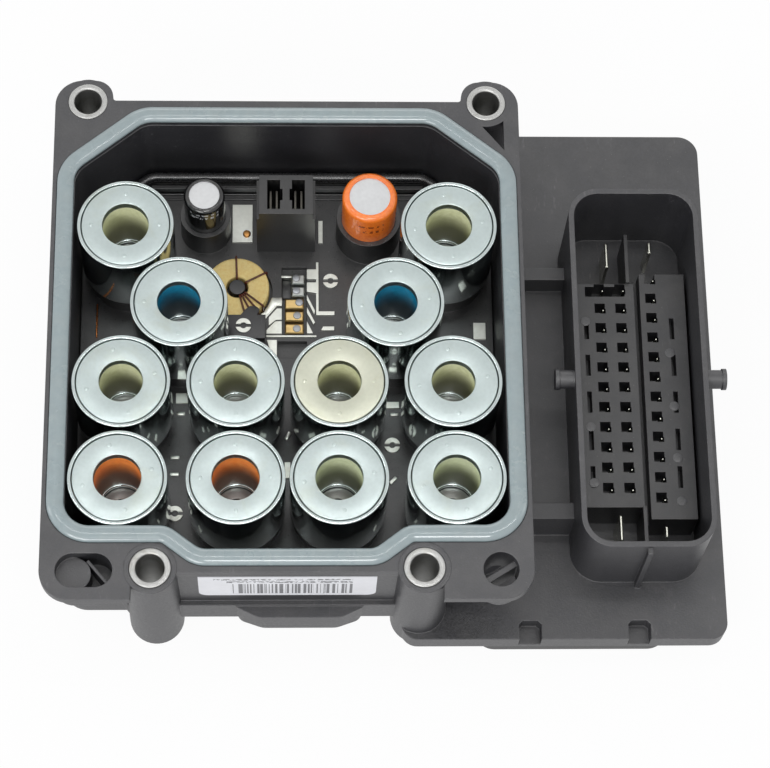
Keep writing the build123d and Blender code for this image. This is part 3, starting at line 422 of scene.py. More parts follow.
# Coloured mouldings, rubber and coatings; coatingExtras holds what only some have
coatingColumns = ("colour", "dark", "rough", "depth", "scale")
coatingRows = {
    "sealRubber": ((142, 156, 159), (134, 148, 151), 0.24, 0.04, 500.0),
    "bobbinOlive": ((240, 242, 204), (222, 224, 180), 0.4, 0.1, 900.0),
    "bobbinBlue": ((30, 152, 188), (22, 122, 156), 0.36, 0.1, 900.0),
    "bobbinOrange": ((255, 168, 84), (240, 140, 60), 0.4, 0.1, 900.0),
    "bobbinGreen": ((236, 242, 208), (214, 222, 180), 0.4, 0.1, 900.0),
    "capSleeveBlack": ((20, 20, 22), (12, 12, 14), 0.14, 0.05, 900.0),
    "capSleeveOrange": ((255, 136, 48), (238, 106, 28), 0.22, 0.1, 1300.0),
    "chokeYellow": ((255, 230, 156), (244, 210, 130), 0.62, 0.5, 1500.0),
    "chokeWire": ((104, 48, 28), (60, 26, 18), 0.28, 0.05, 900.0),
    "boardLaminate": ((28, 92, 48), (20, 70, 36), 0.35, 0.1, 700.0),
}
coatingExtras = {  # dashes: node, ink, rows of (height, half height)
    "sealRubber": {"coat": 0.9},
    # the deep colours below are painted shade down each bore
    "bobbinOlive": {"boreShade": (158, 158, 132)},
    "bobbinBlue": {"boreShade": (58, 84, 94)},
    "bobbinOrange": {"boreShade": (140, 104, 70)},
    "bobbinGreen": {"boreShade": (150, 154, 128)},
    "capSleeveBlack": {
        "coat": 0.6,
        "dashes": ("small_capacitor_sleeve", (196, 198, 202), [(-8.9, 0.32), (-10.4, 0.5)]),
    },
    "capSleeveOrange": {
        "coat": 0.5,
        "dashes": ("large_capacitor_sleeve", (120, 48, 20), [(-9.6, 0.4), (-12.2, 0.6)]),
    },
}
coatings = {key: dict(zip(coatingColumns, row), **coatingExtras.get(key, {})) for key, row in coatingRows.items()}


def within(tree, value, centre, half):  # 1 where a value lies near a centre
    away = calculate(tree, "ABSOLUTE", calculate(tree, "SUBTRACT", value, centre))
    return calculate(tree, "LESS_THAN", away, half)


def makeCoating(name):
    sizes = coatings[name]
    material, tree, shader = newFinish(name)
    place = objectPlace(tree)
    wear = useGroup(tree, edgeWear, Radius=0.0002, Reach=2.0, Patches=500.0)
    dust = useGroup(tree, dustFilm, Amount=0.12, Patches=200.0)
    fine = noise(tree, place, sizes["scale"], 4.0, 0.6)
    clouds = noise(tree, place, 110.0, 4.0, 0.6)
    share = product(tree, spread(tree, fine, 0.35, 0.65), spread(tree, clouds, 0.3, 0.7, 0.5, 1.0))
    tinted = blendColour(tree, share, shade(*sizes["colour"]), shade(*sizes["dark"]))
    if "boreShade" in sizes:  # painted shade: the colour goes greyer and darker down the bore
        height = put(tree, "ShaderNodeSeparateXYZ", {0: place}).outputs["Z"]
        down = spread(tree, height, origin.z - 5.0 * mm, origin.z - 13.0 * mm)
        tinted = blendColour(tree, down, tinted, shade(*sizes["boreShade"]))
    if "dashes" in sizes:  # plain printed dashes in rows on the front of a sleeve, no lettering
        node, ink, rows = sizes["dashes"]
        centre = middleOf(node)
        parts = put(tree, "ShaderNodeSeparateXYZ", {0: place})
        across = calculate(tree, "SUBTRACT", parts.outputs["X"], centre.x)
        front = calculate(tree, "LESS_THAN", parts.outputs["Y"], centre.y - 0.8 * mm)
        onFront = product(tree, front, within(tree, across, 0.0, 3.4 * mm))
        slowZ = product(tree, parts.outputs["Z"], 0.35)
        line = put(tree, "ShaderNodeCombineXYZ", {"X": across, "Y": slowZ})
        broken = calculate(tree, "GREATER_THAN", noise(tree, line.outputs[0], 1300.0, 1.0, 0.5), 0.5)
        inked = product(tree, onFront, broken)
        rowMask = 0.0
        for z, half in rows:
            rowMask = calculate(tree, "ADD", within(tree, parts.outputs["Z"], origin.z + z * mm, half * mm), rowMask)
        printShare = product(tree, inked, product(tree, rowMask, 0.85))
        tinted = blendColour(tree, printShare, tinted, shade(*ink))
    dusty = blendColour(tree, dust.outputs["Mask"], tinted, shade(170, 168, 160))
    rough = spread(tree, clouds, 0.3, 0.7, sizes["rough"] - 0.05, sizes["rough"] + 0.08)
    bump = bumped(tree, fine, sizes["depth"], wear.outputs["Normal"])
    setShader(tree, shader, Base_Color=dusty, Roughness=rough, Normal=bump)
    if "coat" in sizes:
        setShader(tree, shader, Coat_Weight=sizes["coat"], Coat_Roughness=0.05)
    return material


labelPrint = {
    "barsMiddle": (1.0, -13.0),  # mm from the working origin, along the wall and up
    "barsHalf": (14.0, 3.6),
    "rows": [(0.5, -8.0, 14.5, 0.6), (-1.0, -6.2, 16.0, 0.5)],
    "barRate": 1500.0,
}


def makeLabelPaper():
    material, tree, shader = newFinish("labelPaper")
    place = objectPlace(tree)
    parts = put(tree, "ShaderNodeSeparateXYZ", {0: place})
    along, height = parts.outputs["X"], parts.outputs["Z"]
    barPlace = put(tree, "ShaderNodeCombineXYZ", {"X": along})
    barNoise = noise(tree, barPlace.outputs[0], labelPrint["barRate"], 1.0, 0.5)
    bars = calculate(tree, "GREATER_THAN", barNoise, 0.5)
    x, z = labelPrint["barsMiddle"]
    halfX, halfZ = labelPrint["barsHalf"]
    centre = spot(x, 0.0, z)
    area = product(tree, within(tree, along, centre.x, halfX * mm), within(tree, height, centre.z, halfZ * mm))
    printed = product(tree, bars, area)
    dashes = calculate(tree, "GREATER_THAN", noise(tree, place, 1500.0, 2.0, 0.5), 0.47)
    for x, z, halfX, halfZ in labelPrint["rows"]:
        centre = spot(x, 0.0, z)
        row = calculate(
            tree, "MULTIPLY", within(tree, along, centre.x, halfX * mm), within(tree, height, centre.z, halfZ * mm)
        )
        printed = calculate(tree, "MAXIMUM", printed, product(tree, row, dashes))
    paper = noise(tree, place, 260.0, 5.0, 0.6)
    base = scaled(tree, shade(226, 227, 231), spread(tree, paper, 0.3, 0.7, 0.94, 1.04))
    inked = blendColour(tree, product(tree, printed, 0.8), base, shade(62, 62, 66))
    rough = spread(tree, paper, 0.3, 0.7, 0.42, 0.55)
    setShader(tree, shader, Base_Color=inked, Roughness=rough, Normal=bumped(tree, paper, 0.08))
    return material


finishes = {name: makePlastic(name) for name in plastics}
finishes.update({name: makeMetal(name) for name in metals})
finishes.update({name: makeCoating(name) for name in coatings})
finishes["labelPaper"] = makeLabelPaper()
print("stage: finishes", len(finishes))


# Mesh helpers
def addPiece(name, mesh, finish, nodes=()):
    piece = bpy.data.objects.new(name, mesh)
    bpy.context.scene.collection.objects.link(piece)
    if finish:
        mesh.materials.clear()
        mesh.materials.append(finishes[finish])
    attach(piece, "root")
    if nodes:
        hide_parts(*nodes)
    return piece


def plainMesh(piece, name):  # the evaluated mesh, with its modifiers turned to mesh
    depsgraph = bpy.context.evaluated_depsgraph_get()
    mesh = bpy.data.meshes.new_from_object(piece.evaluated_get(depsgraph), depsgraph=depsgraph)
    mesh.name = name
    bpy.data.objects.remove(piece)
    return mesh


def smoothMesh(node, name, angle):  # a merged copy of a CAD node, shaded smooth up to an angle
    work = bmesh.new()
    work.from_mesh(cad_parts[node].data)
    bmesh.ops.remove_doubles(work, verts=work.verts, dist=1e-6)
    mesh = bpy.data.meshes.new(name)
    work.to_mesh(mesh)
    work.free()
    if "custom_normal" in mesh.attributes:
        mesh.attributes.remove(mesh.attributes["custom_normal"])
    mesh.shade_smooth()
    mesh.set_sharp_from_angle(angle=math.radians(angle))
    piece = bpy.data.objects.new(name, mesh)
    bpy.context.scene.collection.objects.link(piece)
    weigh = piece.modifiers.new("weigh", "WEIGHTED_NORMAL")
    weigh.keep_sharp = True
    weigh.weight = 100
    return plainMesh(piece, name)


def dress(node, finish, name=None, angle=32.0):  # a smooth piece in the place of a CAD node
    name = name or node + "Dressed"
    return addPiece(name, smoothMesh(node, name, angle), finish, (node,))


def roundedLoop(corners, steps=4):  # corners (across, up, radius) of a closed section, to its points
    points = []
    count = len(corners)
    for number, (across, up, radius) in enumerate(corners):
        here = Vector((across, up))
        if radius <= 0:
            points.append(here)
            continue
        before = (Vector(corners[number - 1][:2]) - here).normalized()
        after = (Vector(corners[(number + 1) % count][:2]) - here).normalized()
        half = before.angle(after) / 2
        centre = here + (before + after).normalized() * radius / math.sin(half)
        first = here + before * radius / math.tan(half) - centre
        last = here + after * radius / math.tan(half) - centre
        startAngle = math.atan2(first.y, first.x)
        sweep = (math.atan2(last.y, last.x) - startAngle + math.pi) % (2 * math.pi) - math.pi
        for step in range(steps + 1):
            angle = startAngle + sweep * step / steps
            points.append(centre + Vector((math.cos(angle), math.sin(angle))) * radius)
    return points


sharpEdge = 35.0  # degrees from which an edge stays sharp


def smoothed(work, name, sharp=sharpEdge):  # a bmesh to a mesh, shaded smooth up to an angle
    mesh = bpy.data.meshes.new(name)
    work.to_mesh(mesh)
    work.free()
    mesh.shade_smooth()
    mesh.set_sharp_from_angle(angle=math.radians(sharp))
    return mesh


def turnedMesh(name, section, steps=72):  # a section in mm turned about the Z axis
    work = bmesh.new()
    rings = []
    for step in range(steps):
        angle = 2 * math.pi * step / steps
        ring = [work.verts.new((p.x * mm * math.cos(angle), p.x * mm * math.sin(angle), p.y * mm)) for p in section]
        rings.append(ring)
    for step, ring in enumerate(rings):
        following = rings[(step + 1) % steps]
        for number in range(len(ring)):
            after = (number + 1) % len(ring)
            work.faces.new((ring[number], ring[after], following[after], following[number]))
    bmesh.ops.remove_doubles(work, verts=work.verts, dist=1e-7)
    bmesh.ops.dissolve_degenerate(work, dist=1e-8, edges=work.edges)
    bmesh.ops.recalc_face_normals(work, faces=work.faces)
    return smoothed(work, name)


# Geometry Nodes: copies of one part on places, and a bead along a path
def nodeTree(name, sockets):
    tree = bpy.data.node_groups.new(name, "GeometryNodeTree")
    for label, kind in sockets:
        tree.interface.new_socket(name=label, in_out="INPUT", socket_type=kind)
    tree.interface.new_socket(name="Result", in_out="OUTPUT", socket_type="NodeSocketGeometry")
    return tree, tree.nodes.new("NodeGroupInput"), tree.nodes.new("NodeGroupOutput")


def finishTree(tree, start, end, shape):  # every tree ends in Realize Instances and Set Material
    real = put(tree, "GeometryNodeRealizeInstances", {"Geometry": shape})
    painted = put(tree, "GeometryNodeSetMaterial", {"Geometry": real.outputs[0], "Material": start.outputs["Finish"]})
    tree.links.new(painted.outputs[0], end.inputs[0])


def makeCopiesTree():
    tree, start, end = nodeTree(
        "copiesOnPlaces",
        [
            ("Places", "NodeSocketGeometry"),
            ("Part", "NodeSocketObject"),
            ("Size", "NodeSocketFloat"),
            ("Finish", "NodeSocketMaterial"),
        ],
    )
    part = put(tree, "GeometryNodeObjectInfo", {"Object": start.outputs["Part"]})
    turn = put(tree, "GeometryNodeInputNamedAttribute", {"Name": "turn"}, data_type="FLOAT_VECTOR")
    rotation = put(tree, "FunctionNodeEulerToRotation", {0: turn.outputs["Attribute"]})
    inputs = {
        "Points": start.outputs["Places"],
        "Instance": part.outputs["Geometry"],
        "Rotation": rotation.outputs[0],
        "Scale": start.outputs["Size"],
    }
    copied = put(tree, "GeometryNodeInstanceOnPoints", inputs)
    finishTree(tree, start, end, copied.outputs[0])
    return tree


def makeBeadTree():  # a crowned bead along a path whose corners carry their own radius
    tree, start, end = nodeTree(
        "beadAlongPath",
        [
            ("Path", "NodeSocketGeometry"),
            *[(label, "NodeSocketFloat") for label in ("Width", "Crown", "Foot", "Shift", "Fullness")],
            ("Steps", "NodeSocketInt"),
            ("Sides", "NodeSocketInt"),
            ("Finish", "NodeSocketMaterial"),
        ],
    )
    line = put(tree, "GeometryNodeMeshToCurve", {"Mesh": start.outputs["Path"]})
    radius = put(tree, "GeometryNodeInputNamedAttribute", {"Name": "cornerRadius"}, data_type="FLOAT")
    inputs = {
        "Curve": line.outputs[0],
        "Radius": radius.outputs["Attribute"],
        "Limit Radius": True,
        "Count": start.outputs["Steps"],
    }
    bent = put(tree, "GeometryNodeFilletCurve", inputs, mode="POLY")
    upright = put(tree, "GeometryNodeSetCurveNormal", {"Curve": bent.outputs[0]}, mode="Z_UP")
    circle = put(tree, "GeometryNodeCurvePrimitiveCircle", {"Resolution": start.outputs["Sides"], "Radius": 1.0})
    place = put(tree, "ShaderNodeSeparateXYZ", {0: put(tree, "GeometryNodeInputPosition").outputs[0]})
    fuller = []
    for axis in ("X", "Y"):  # the power makes the circle's quarters fuller
        value = place.outputs[axis]
        strength = calculate(tree, "POWER", calculate(tree, "ABSOLUTE", value), start.outputs["Fullness"])
        fuller.append(product(tree, strength, calculate(tree, "SIGN", value)))
    across = calculate(tree, "ADD", product(tree, fuller[0], start.outputs["Width"]), start.outputs["Shift"])
    above = product(tree, calculate(tree, "MAXIMUM", fuller[1], 0.0), start.outputs["Crown"])
    below = product(tree, calculate(tree, "MINIMUM", fuller[1], 0.0), start.outputs["Foot"])
    point = put(tree, "ShaderNodeCombineXYZ", {"X": across, "Y": calculate(tree, "ADD", above, below)})
    section = put(tree, "GeometryNodeSetPosition", {"Geometry": circle.outputs[0], "Position": point.outputs[0]})
    inputs = {"Curve": upright.outputs[0], "Profile Curve": section.outputs[0], "Fill Caps": True}
    swept = put(tree, "GeometryNodeCurveToMesh", inputs)
    finishTree(tree, start, end, swept.outputs[0])
    return tree


copiesTree = makeCopiesTree()
beadTree = makeBeadTree()


def plateMesh(name, outline, low, high, bevel):  # a flat plate with bevelled edges, outline in mm
    work = bmesh.new()
    face = work.faces.new([work.verts.new(spot(x, y, low)) for x, y in outline])
    pulled = bmesh.ops.extrude_face_region(work, geom=[face])
    raised = [item for item in pulled["geom"] if isinstance(item, bmesh.types.BMVert)]
    bmesh.ops.translate(work, verts=raised, vec=(0.0, 0.0, (high - low) * mm))
    bmesh.ops.recalc_face_normals(work, faces=work.faces)
    bmesh.ops.bevel(work, geom=work.edges[:], offset=bevel * mm, segments=2, profile=0.5, affect="EDGES")
    return smoothed(work, name)


def grown(name, base, tree, finish, **values):  # a tree's result on a base mesh, as a plain mesh
    piece = bpy.data.objects.new(name, base)
    bpy.context.scene.collection.objects.link(piece)
    modifier = piece.modifiers.new("grow", "NODES")
    modifier.node_group = tree
    keys = {item.name: item.identifier for item in tree.interface.items_tree if item.in_out == "INPUT"}
    modifier[keys["Finish"]] = finishes[finish]
    for label, value in values.items():
        modifier[keys[label]] = value
    return plainMesh(piece, name)


def copies(name, part, places, finish, nodes=(), turns=None):  # places in mm from the working origin
    base = bpy.data.meshes.new(name + "Places")
    base.from_pydata([spot(*place) for place in places], [], [])
    turned = base.attributes.new("turn", "FLOAT_VECTOR", "POINT")
    for number, turn in enumerate(turns or [0.0] * len(places)):
        turned.data[number].vector = (0.0, 0.0, math.radians(turn))
    model = bpy.data.objects.new(name + "Part", part)
    bpy.context.scene.collection.objects.link(model)
    mesh = grown(name, base, copiesTree, finish, Part=model, Size=1.0)
    bpy.data.objects.remove(model)
    return addPiece(name, mesh, finish, nodes)


def beadMesh(name, path, closed, finish, **sizes):  # path: (x, y, z, corner radius) in mm
    base = bpy.data.meshes.new(name + "Path")
    count = len(path)
    edges = [(number, (number + 1) % count) for number in range(count if closed else count - 1)]
    base.from_pydata([spot(x, y, z) for x, y, z, radius in path], edges, [])
    radii = base.attributes.new("cornerRadius", "FLOAT", "POINT")
    for number, corner in enumerate(path):
        radii.data[number].value = corner[3] * mm
    values = {"Width": 1.0, "Crown": 1.0, "Foot": 1.0, "Shift": 0.0, "Fullness": 1.0, "Steps": 10, "Sides": 16}
    values.update(sizes)
    for label in ("Width", "Crown", "Foot", "Shift"):
        values[label] = float(values[label] * mm)
    mesh = grown(name, base, beadTree, finish, **values)
    work = bmesh.new()
    work.from_mesh(mesh)
    bmesh.ops.remove_doubles(work, verts=work.verts, dist=1e-7)
    bmesh.ops.recalc_face_normals(work, faces=work.faces)
    work.to_mesh(mesh)
    work.free()
    mesh.shade_smooth()
    mesh.set_sharp_from_angle(angle=math.radians(50))
    return mesh


def placeOf(node):  # middle of a node's outline, in mm from the working origin, at the flange face
    offset = (middleOf(node) - origin) / mm
    return (offset.x, offset.y, 0.0)


coilNames = ["a1", "a2", "b1", "b2", "c1", "c2", "c3", "c4", "d1", "d2", "d3", "d4"]
coilSet = {
    "radius": 11.5,
    "height": 21.5,
    "wall": 0.85,
    "floor": 1.5,
    "rimRound": 0.24,
    "footRound": 0.75,
    "wideBore": 5.5,  # rows a and d
    "narrowBore": 5.1,  # rows b and c
    "floorStep": 0.5,
    "poleThickness": 2.2,
    "poleTop": -0.1,
    "poleRadius": 10.46,
    "poleRound": 0.3,
    "washer": (2.2, 4.9, -21.75, -21.45),  # spring washer under each can: bore, radius, foot, top
    "boreRound": 0.2,
    "yellowPole": "c3",  # the one pole plate with yellow plating
    "dentReach": 8.1,  # four staking dents on each pole plate
    "dentRadius": 0.6,
}
bobbinFinish = {
    "a": "bobbinOlive",
    "b": "bobbinBlue",
    "c": "bobbinOlive",
    "d1": "bobbinOrange",
    "d2": "bobbinOrange",
    "d3": "bobbinGreen",
    "d4": "bobbinGreen",
}


def makeCoils():
    radius, height, wall = coilSet["radius"], coilSet["height"], coilSet["wall"]
    for rows, bore in (("ad", coilSet["wideBore"]), ("bc", coilSet["narrowBore"])):
        names = [name for name in coilNames if name[0] in rows]
        places = [placeOf(f"coil_can_{name}") for name in names]
        turns = [(number * 47.0) % 90.0 for number in range(len(names))]
        hole = bore - coilSet["floorStep"]
        canSection = roundedLoop(
            [
                (hole, -height, 0.25),
                (radius, -height, coilSet["footRound"]),
                (radius, 0.0, coilSet["rimRound"]),
                (radius - wall, 0.0, coilSet["rimRound"]),
                (radius - wall, -height + coilSet["floor"], 0.2),
                (hole, -height + coilSet["floor"], 0.3),
            ]
        )
        cans = turnedMesh("canPart", canSection, 96)
        nodes = [f"coil_can_{name}" for name in names]
        copies(f"coilCans{rows.upper()}", cans, places, "zincCan", nodes)
        top = coilSet["poleTop"]
        poleSection = roundedLoop(
            [
                (bore, top - coilSet["poleThickness"], 0.0),
                (coilSet["poleRadius"], top - coilSet["poleThickness"], 0.0),
                (coilSet["poleRadius"], top, coilSet["poleRound"]),
                (bore, top, coilSet["boreRound"]),
            ]
        )
        pole = turnedMesh("polePart", poleSection, 96)
        dent = turnedMesh("dentPart", roundedLoop([(0.0, -0.1, 0.0), (coilSet["dentRadius"], -0.1, 0.0),
                                                   (coilSet["dentRadius"] * 0.6, 0.1, 0.06), (0.0, 0.1, 0.0)]), 14)
        plain = [name for name in names if name != coilSet["yellowPole"]]
        yellow = [name for name in names if name == coilSet["yellowPole"]]
        for finish, chosen in (("zincPole", plain), ("yellowPole", yellow)):
            if not chosen:
                continue
            spots = [placeOf(f"pole_plate_{name}") for name in chosen]
            label = f"polePlates{rows.upper()}" + ("Yellow" if finish == "yellowPole" else "")
            copies(label, pole.copy(), spots, finish, [f"pole_plate_{name}" for name in chosen])
            dents = []
            for number, (x, y, z) in enumerate(spots):
                for quarter in range(4):
                    angle = math.radians(90 * quarter + (number * 7.0) % 20.0)
                    reach = coilSet["dentReach"]
                    dents.append((x + reach * math.cos(angle), y + reach * math.sin(angle), top))
            copies(label + "Dents", dent.copy(), dents, finish)
    inner, outer, foot, top = coilSet["washer"]
    section = roundedLoop([(inner, foot, 0.0), (outer, foot, 0.0), (outer, top, 0.1), (inner, top, 0.1)])
    places = [placeOf(f"coil_can_{name}") for name in coilNames]
    copies("coilWashers", turnedMesh("washerPart", section, 40), places, "sleeveSteel")
    for name in coilNames:
        finish = bobbinFinish.get(name) or bobbinFinish[name[0]]
        dress(f"bobbin_{name}", finish, f"bobbin{name.upper()}", 40.0)
    dress("coil_windings", "copperWire", "coilWindings")
    dress("coil_terminals", "pinMetal", "coilTerminals")
    print("stage: coils", len(coilNames))


sealBead = {
    "width": 4.06,
    "crown": 1.0,  # above the flange face
    "foot": 1.55,  # down in the rebate
    "fullness": 1.0,
    "pocketHalf": 51.0,
    "pocketBack": 67.3,
    "pocketFront": 35.4,
    "noseFront": 41.0,
    "noseHalf": 19.9,
    "noseRun": 7.4,
    "cut": (16.4, 13.1),
    "radius": 6.0,
    "noseRadius": 4.0,
}


def pocketPath():
    half, back, front = sealBead["pocketHalf"], sealBead["pocketBack"], sealBead["pocketFront"]
    nose, noseHalf, run = sealBead["noseFront"], sealBead["noseHalf"], sealBead["noseRun"]
    cutX, cutY = sealBead["cut"]
    radius, noseRadius = sealBead["radius"], sealBead["noseRadius"]
    right = [
        (half - cutX, back, radius),
        (half, back - cutY, radius),
        (half, -front, radius),
        (noseHalf + run, -front, radius),
        (noseHalf, -nose, noseRadius),
    ]
    left = [(-x, y, corner) for x, y, corner in reversed(right)]
    return [(x, y, 0.0, corner) for x, y, corner in right + left]


def makeSeal():
    half = sealBead["width"] / 2
    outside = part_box("gasket")[1].x
    for side in (1.0, -1.0):  # the bead lies outside the pocket's edge
        shift = side * (half + 0.07)
        mesh = beadMesh("sealBead", pocketPath(), True, "sealRubber", Width=half, Crown=sealBead["crown"],
                        Foot=sealBead["foot"], Shift=shift, Fullness=sealBead["fullness"], Steps=14, Sides=32)
        reach = max(vertex.co.x for vertex in mesh.vertices)
        height = max(vertex.co.z for vertex in mesh.vertices)
        if abs(reach - outside) < 0.0005:
            break
    if height - origin.z > 1.2 * mm:  # the section's upper side came out below: turn it over
        for vertex in mesh.vertices:
            vertex.co.z = 2 * origin.z - vertex.co.z
        mesh.flip_normals()
    addPiece("sealBead", mesh, "sealRubber", ("gasket",))
    print("stage: seal")


sleeveSet = {
    "places": [(-48.35, 72.88, 0.0), (48.35, 72.88, 0.0), (-31.13, -45.66, 0.0), (31.13, -45.66, 0.0)],
    "bore": 3.25,
    "radius": 4.75,
    "top": 0.2,
    "foot": -39.0,
    "boreBevel": 0.55,
    "edgeRound": 0.3,
    "ringBore": 4.85,
    "ringRadius": 6.1,  # clear of the seal
    "ringLevels": (-0.3, 0.1),
}


def makeSleeves():
    places = sleeveSet["places"]
    section = roundedLoop(
        [
            (sleeveSet["bore"], sleeveSet["foot"], 0.3),
            (sleeveSet["radius"], sleeveSet["foot"], 0.3),
            (sleeveSet["radius"], sleeveSet["top"], sleeveSet["edgeRound"]),
            (sleeveSet["bore"], sleeveSet["top"], sleeveSet["boreBevel"]),
        ]
    )
    copies("boltSleeves", turnedMesh("sleevePart", section, 72), places, "sleeveSteel",
           ("mounting_bushings",))
    inner, outer = sleeveSet["ringBore"], sleeveSet["ringRadius"]
    low, high = sleeveSet["ringLevels"]
    ring = roundedLoop([(inner, low, 0.0), (outer, low, 0.0), (outer, high, 0.09), (inner, high, 0.09)])
    copies("frontPillarRings", turnedMesh("ringPart", ring, 72), places[2:], "housingPlastic")
    print("stage: sleeves")


pinSet = {
    "size": 0.64,
    "pitch": 5.17,
    "foot": -31.0,
    "top": -18.6,
    "tip": 0.55,
    "columns": [(77.1, 31.1, 11), (82.2, 31.1, 11), (89.7, 33.8, 12)],  # x, first y, pins
}


def makePins():
    half = pinSet["size"] / 2
    corner = half * math.sqrt(2)
    section = [
        Vector((0.0, pinSet["foot"])),
        Vector((corner, pinSet["foot"])),
        Vector((corner, pinSet["top"] - pinSet["tip"])),
        Vector((corner * 0.42, pinSet["top"])),
        Vector((0.0, pinSet["top"])),
    ]
    places = []
    for x, firstY, count in pinSet["columns"]:
        places += [(x, firstY - number * pinSet["pitch"], 0.0) for number in range(count)]
    copies("signalPins", turnedMesh("pinPart", section, 4), places, "pinMetal",
           ("signal_pins",), [45.0] * len(places))
    print("stage: pins", len(places))


chokeSet = {
    "middle": (-12.39, 34.89),
    "wire": 0.26,
    "wireSides": 10,
    "plug": (2.0, -29.0, -25.0),  # radius, foot, top; clear of the turns
    "inner": 2.33,
    "outer": 8.27,
    "low": -29.12,
    "high": -24.78,
    "turns": [92.0, 28.0, -39.0, -51.0, -63.0, -75.0],
    "bridge": [(-14.7, 20.75), (-5.35, 20.75), (-5.35, 27.04), (-7.43, 27.04), (-6.78, 28.56), (-7.81, 29.39),
               (-9.14, 29.39), (-10.24, 28.56), (-11.45, 27.03), (-14.7, 27.03)],
    "bridgeLevels": (-24.45, -24.0),
    "block": [(-14.6, 20.8), (-5.45, 20.8), (-5.45, 26.2), (-14.6, 26.2)],
    "blockLevels": (-28.2, -24.4),
}


def makeChoke():
    dress("choke_core", "chokeYellow", "chokeRing", 50.0)
    inner, outer, low, high = chokeSet["inner"], chokeSet["outer"], chokeSet["low"], chokeSet["high"]
    frameCorners = [(inner, low, 0.5), (outer, low, 0.5), (outer, high, 0.5), (inner, high, 0.5)]
    loop = [(p.x, 0.0, p.y) for p in roundedLoop(frameCorners)]
    wire, sides = chokeSet["wire"], chokeSet["wireSides"]
    work = bmesh.new()
    rings = []
    for number, place in enumerate(loop):
        before, after = Vector(loop[number - 1]), Vector(loop[(number + 1) % len(loop)])
        along = (after - before).normalized()
        side = Vector((0.0, 1.0, 0.0))
        up = along.cross(side)
        ring = []
        for step in range(sides):
            angle = 2 * math.pi * step / sides
            point = Vector(place) + (side * math.cos(angle) + up * math.sin(angle)) * wire
            ring.append(work.verts.new(point * mm))
        rings.append(ring)
    for number, ring in enumerate(rings):
        following = rings[(number + 1) % len(rings)]
        for step in range(sides):
            after = (step + 1) % sides
            work.faces.new((ring[step], ring[after], following[after], following[step]))
    bmesh.ops.recalc_face_normals(work, faces=work.faces)
    part = bpy.data.meshes.new("wirePart")
    work.to_mesh(part)
    work.free()
    part.shade_smooth()
    x, y = chokeSet["middle"]
    radius, low, high = chokeSet["plug"]
    plug = roundedLoop([(0.0, low, 0.0), (radius, low, 0.0), (radius, high, 0.15), (0.0, high, 0.0)])
    copies("chokePlug", turnedMesh("plugPart", plug, 24), [(x, y, 0.0)], "guidePlastic")
    turns = chokeSet["turns"]
    copies("chokeTurns", part, [(x, y, 0.0)] * len(turns), "chokeWire",
           ("choke_winding",), turns)
    for part in ("bridge", "block"):  # a raised plate in front of the ring, with a tongue over it
        low, high = chokeSet[part + "Levels"]
        name = "choke" + part.capitalize()
        addPiece(name, plateMesh(name, chokeSet[part], low, high, 0.12), "guidePlastic")
    print("stage: choke")


railSet = {
    "reach": 1.15,
    "level": -26.9,
    "inset": 1.5,
    "bend": 4.5,
    "endIn": 6.4,  # the ends stand this far in from the pocket's sides
    "endForward": 8.0,
    "ribs": [(61.5, 0.3), (60.1, 0.24)],  # y, half width
    "ribHalf": 33.0,
    "ribLevel": -27.95,
}


def makeRail():
    half, back = sealBead["pocketHalf"], sealBead["pocketBack"] - railSet["inset"]
    cutX, cutY = sealBead["cut"]
    level = railSet["level"]
    path = [
        (-half + railSet["endIn"], back - railSet["endForward"], level, 0.0),
        (-half + cutX + 0.4, back, level, railSet["bend"]),
        (half - cutX - 0.4, back, level, railSet["bend"]),
        (half - railSet["endIn"], back - railSet["endForward"], level, 0.0),
    ]
    reach = railSet["reach"]
    mesh = beadMesh("rearRail", path, False, "railPlasticSheen", Width=reach, Crown=reach, Foot=reach, Fullness=0.8)
    addPiece("rearRail", mesh, "railPlasticSheen")
    for number, (y, reach) in enumerate(railSet["ribs"]):  # two low ribs on the floor in front of the rail
        path = [(side * railSet["ribHalf"], y, railSet["ribLevel"], 0.0) for side in (-1, 1)]
        rib = beadMesh(f"floorRib{number}", path, False, "deckPlastic", Width=reach, Crown=reach, Foot=0.3)
        addPiece(f"floorRib{number}", rib, "deckPlastic")
    print("stage: rear rail")


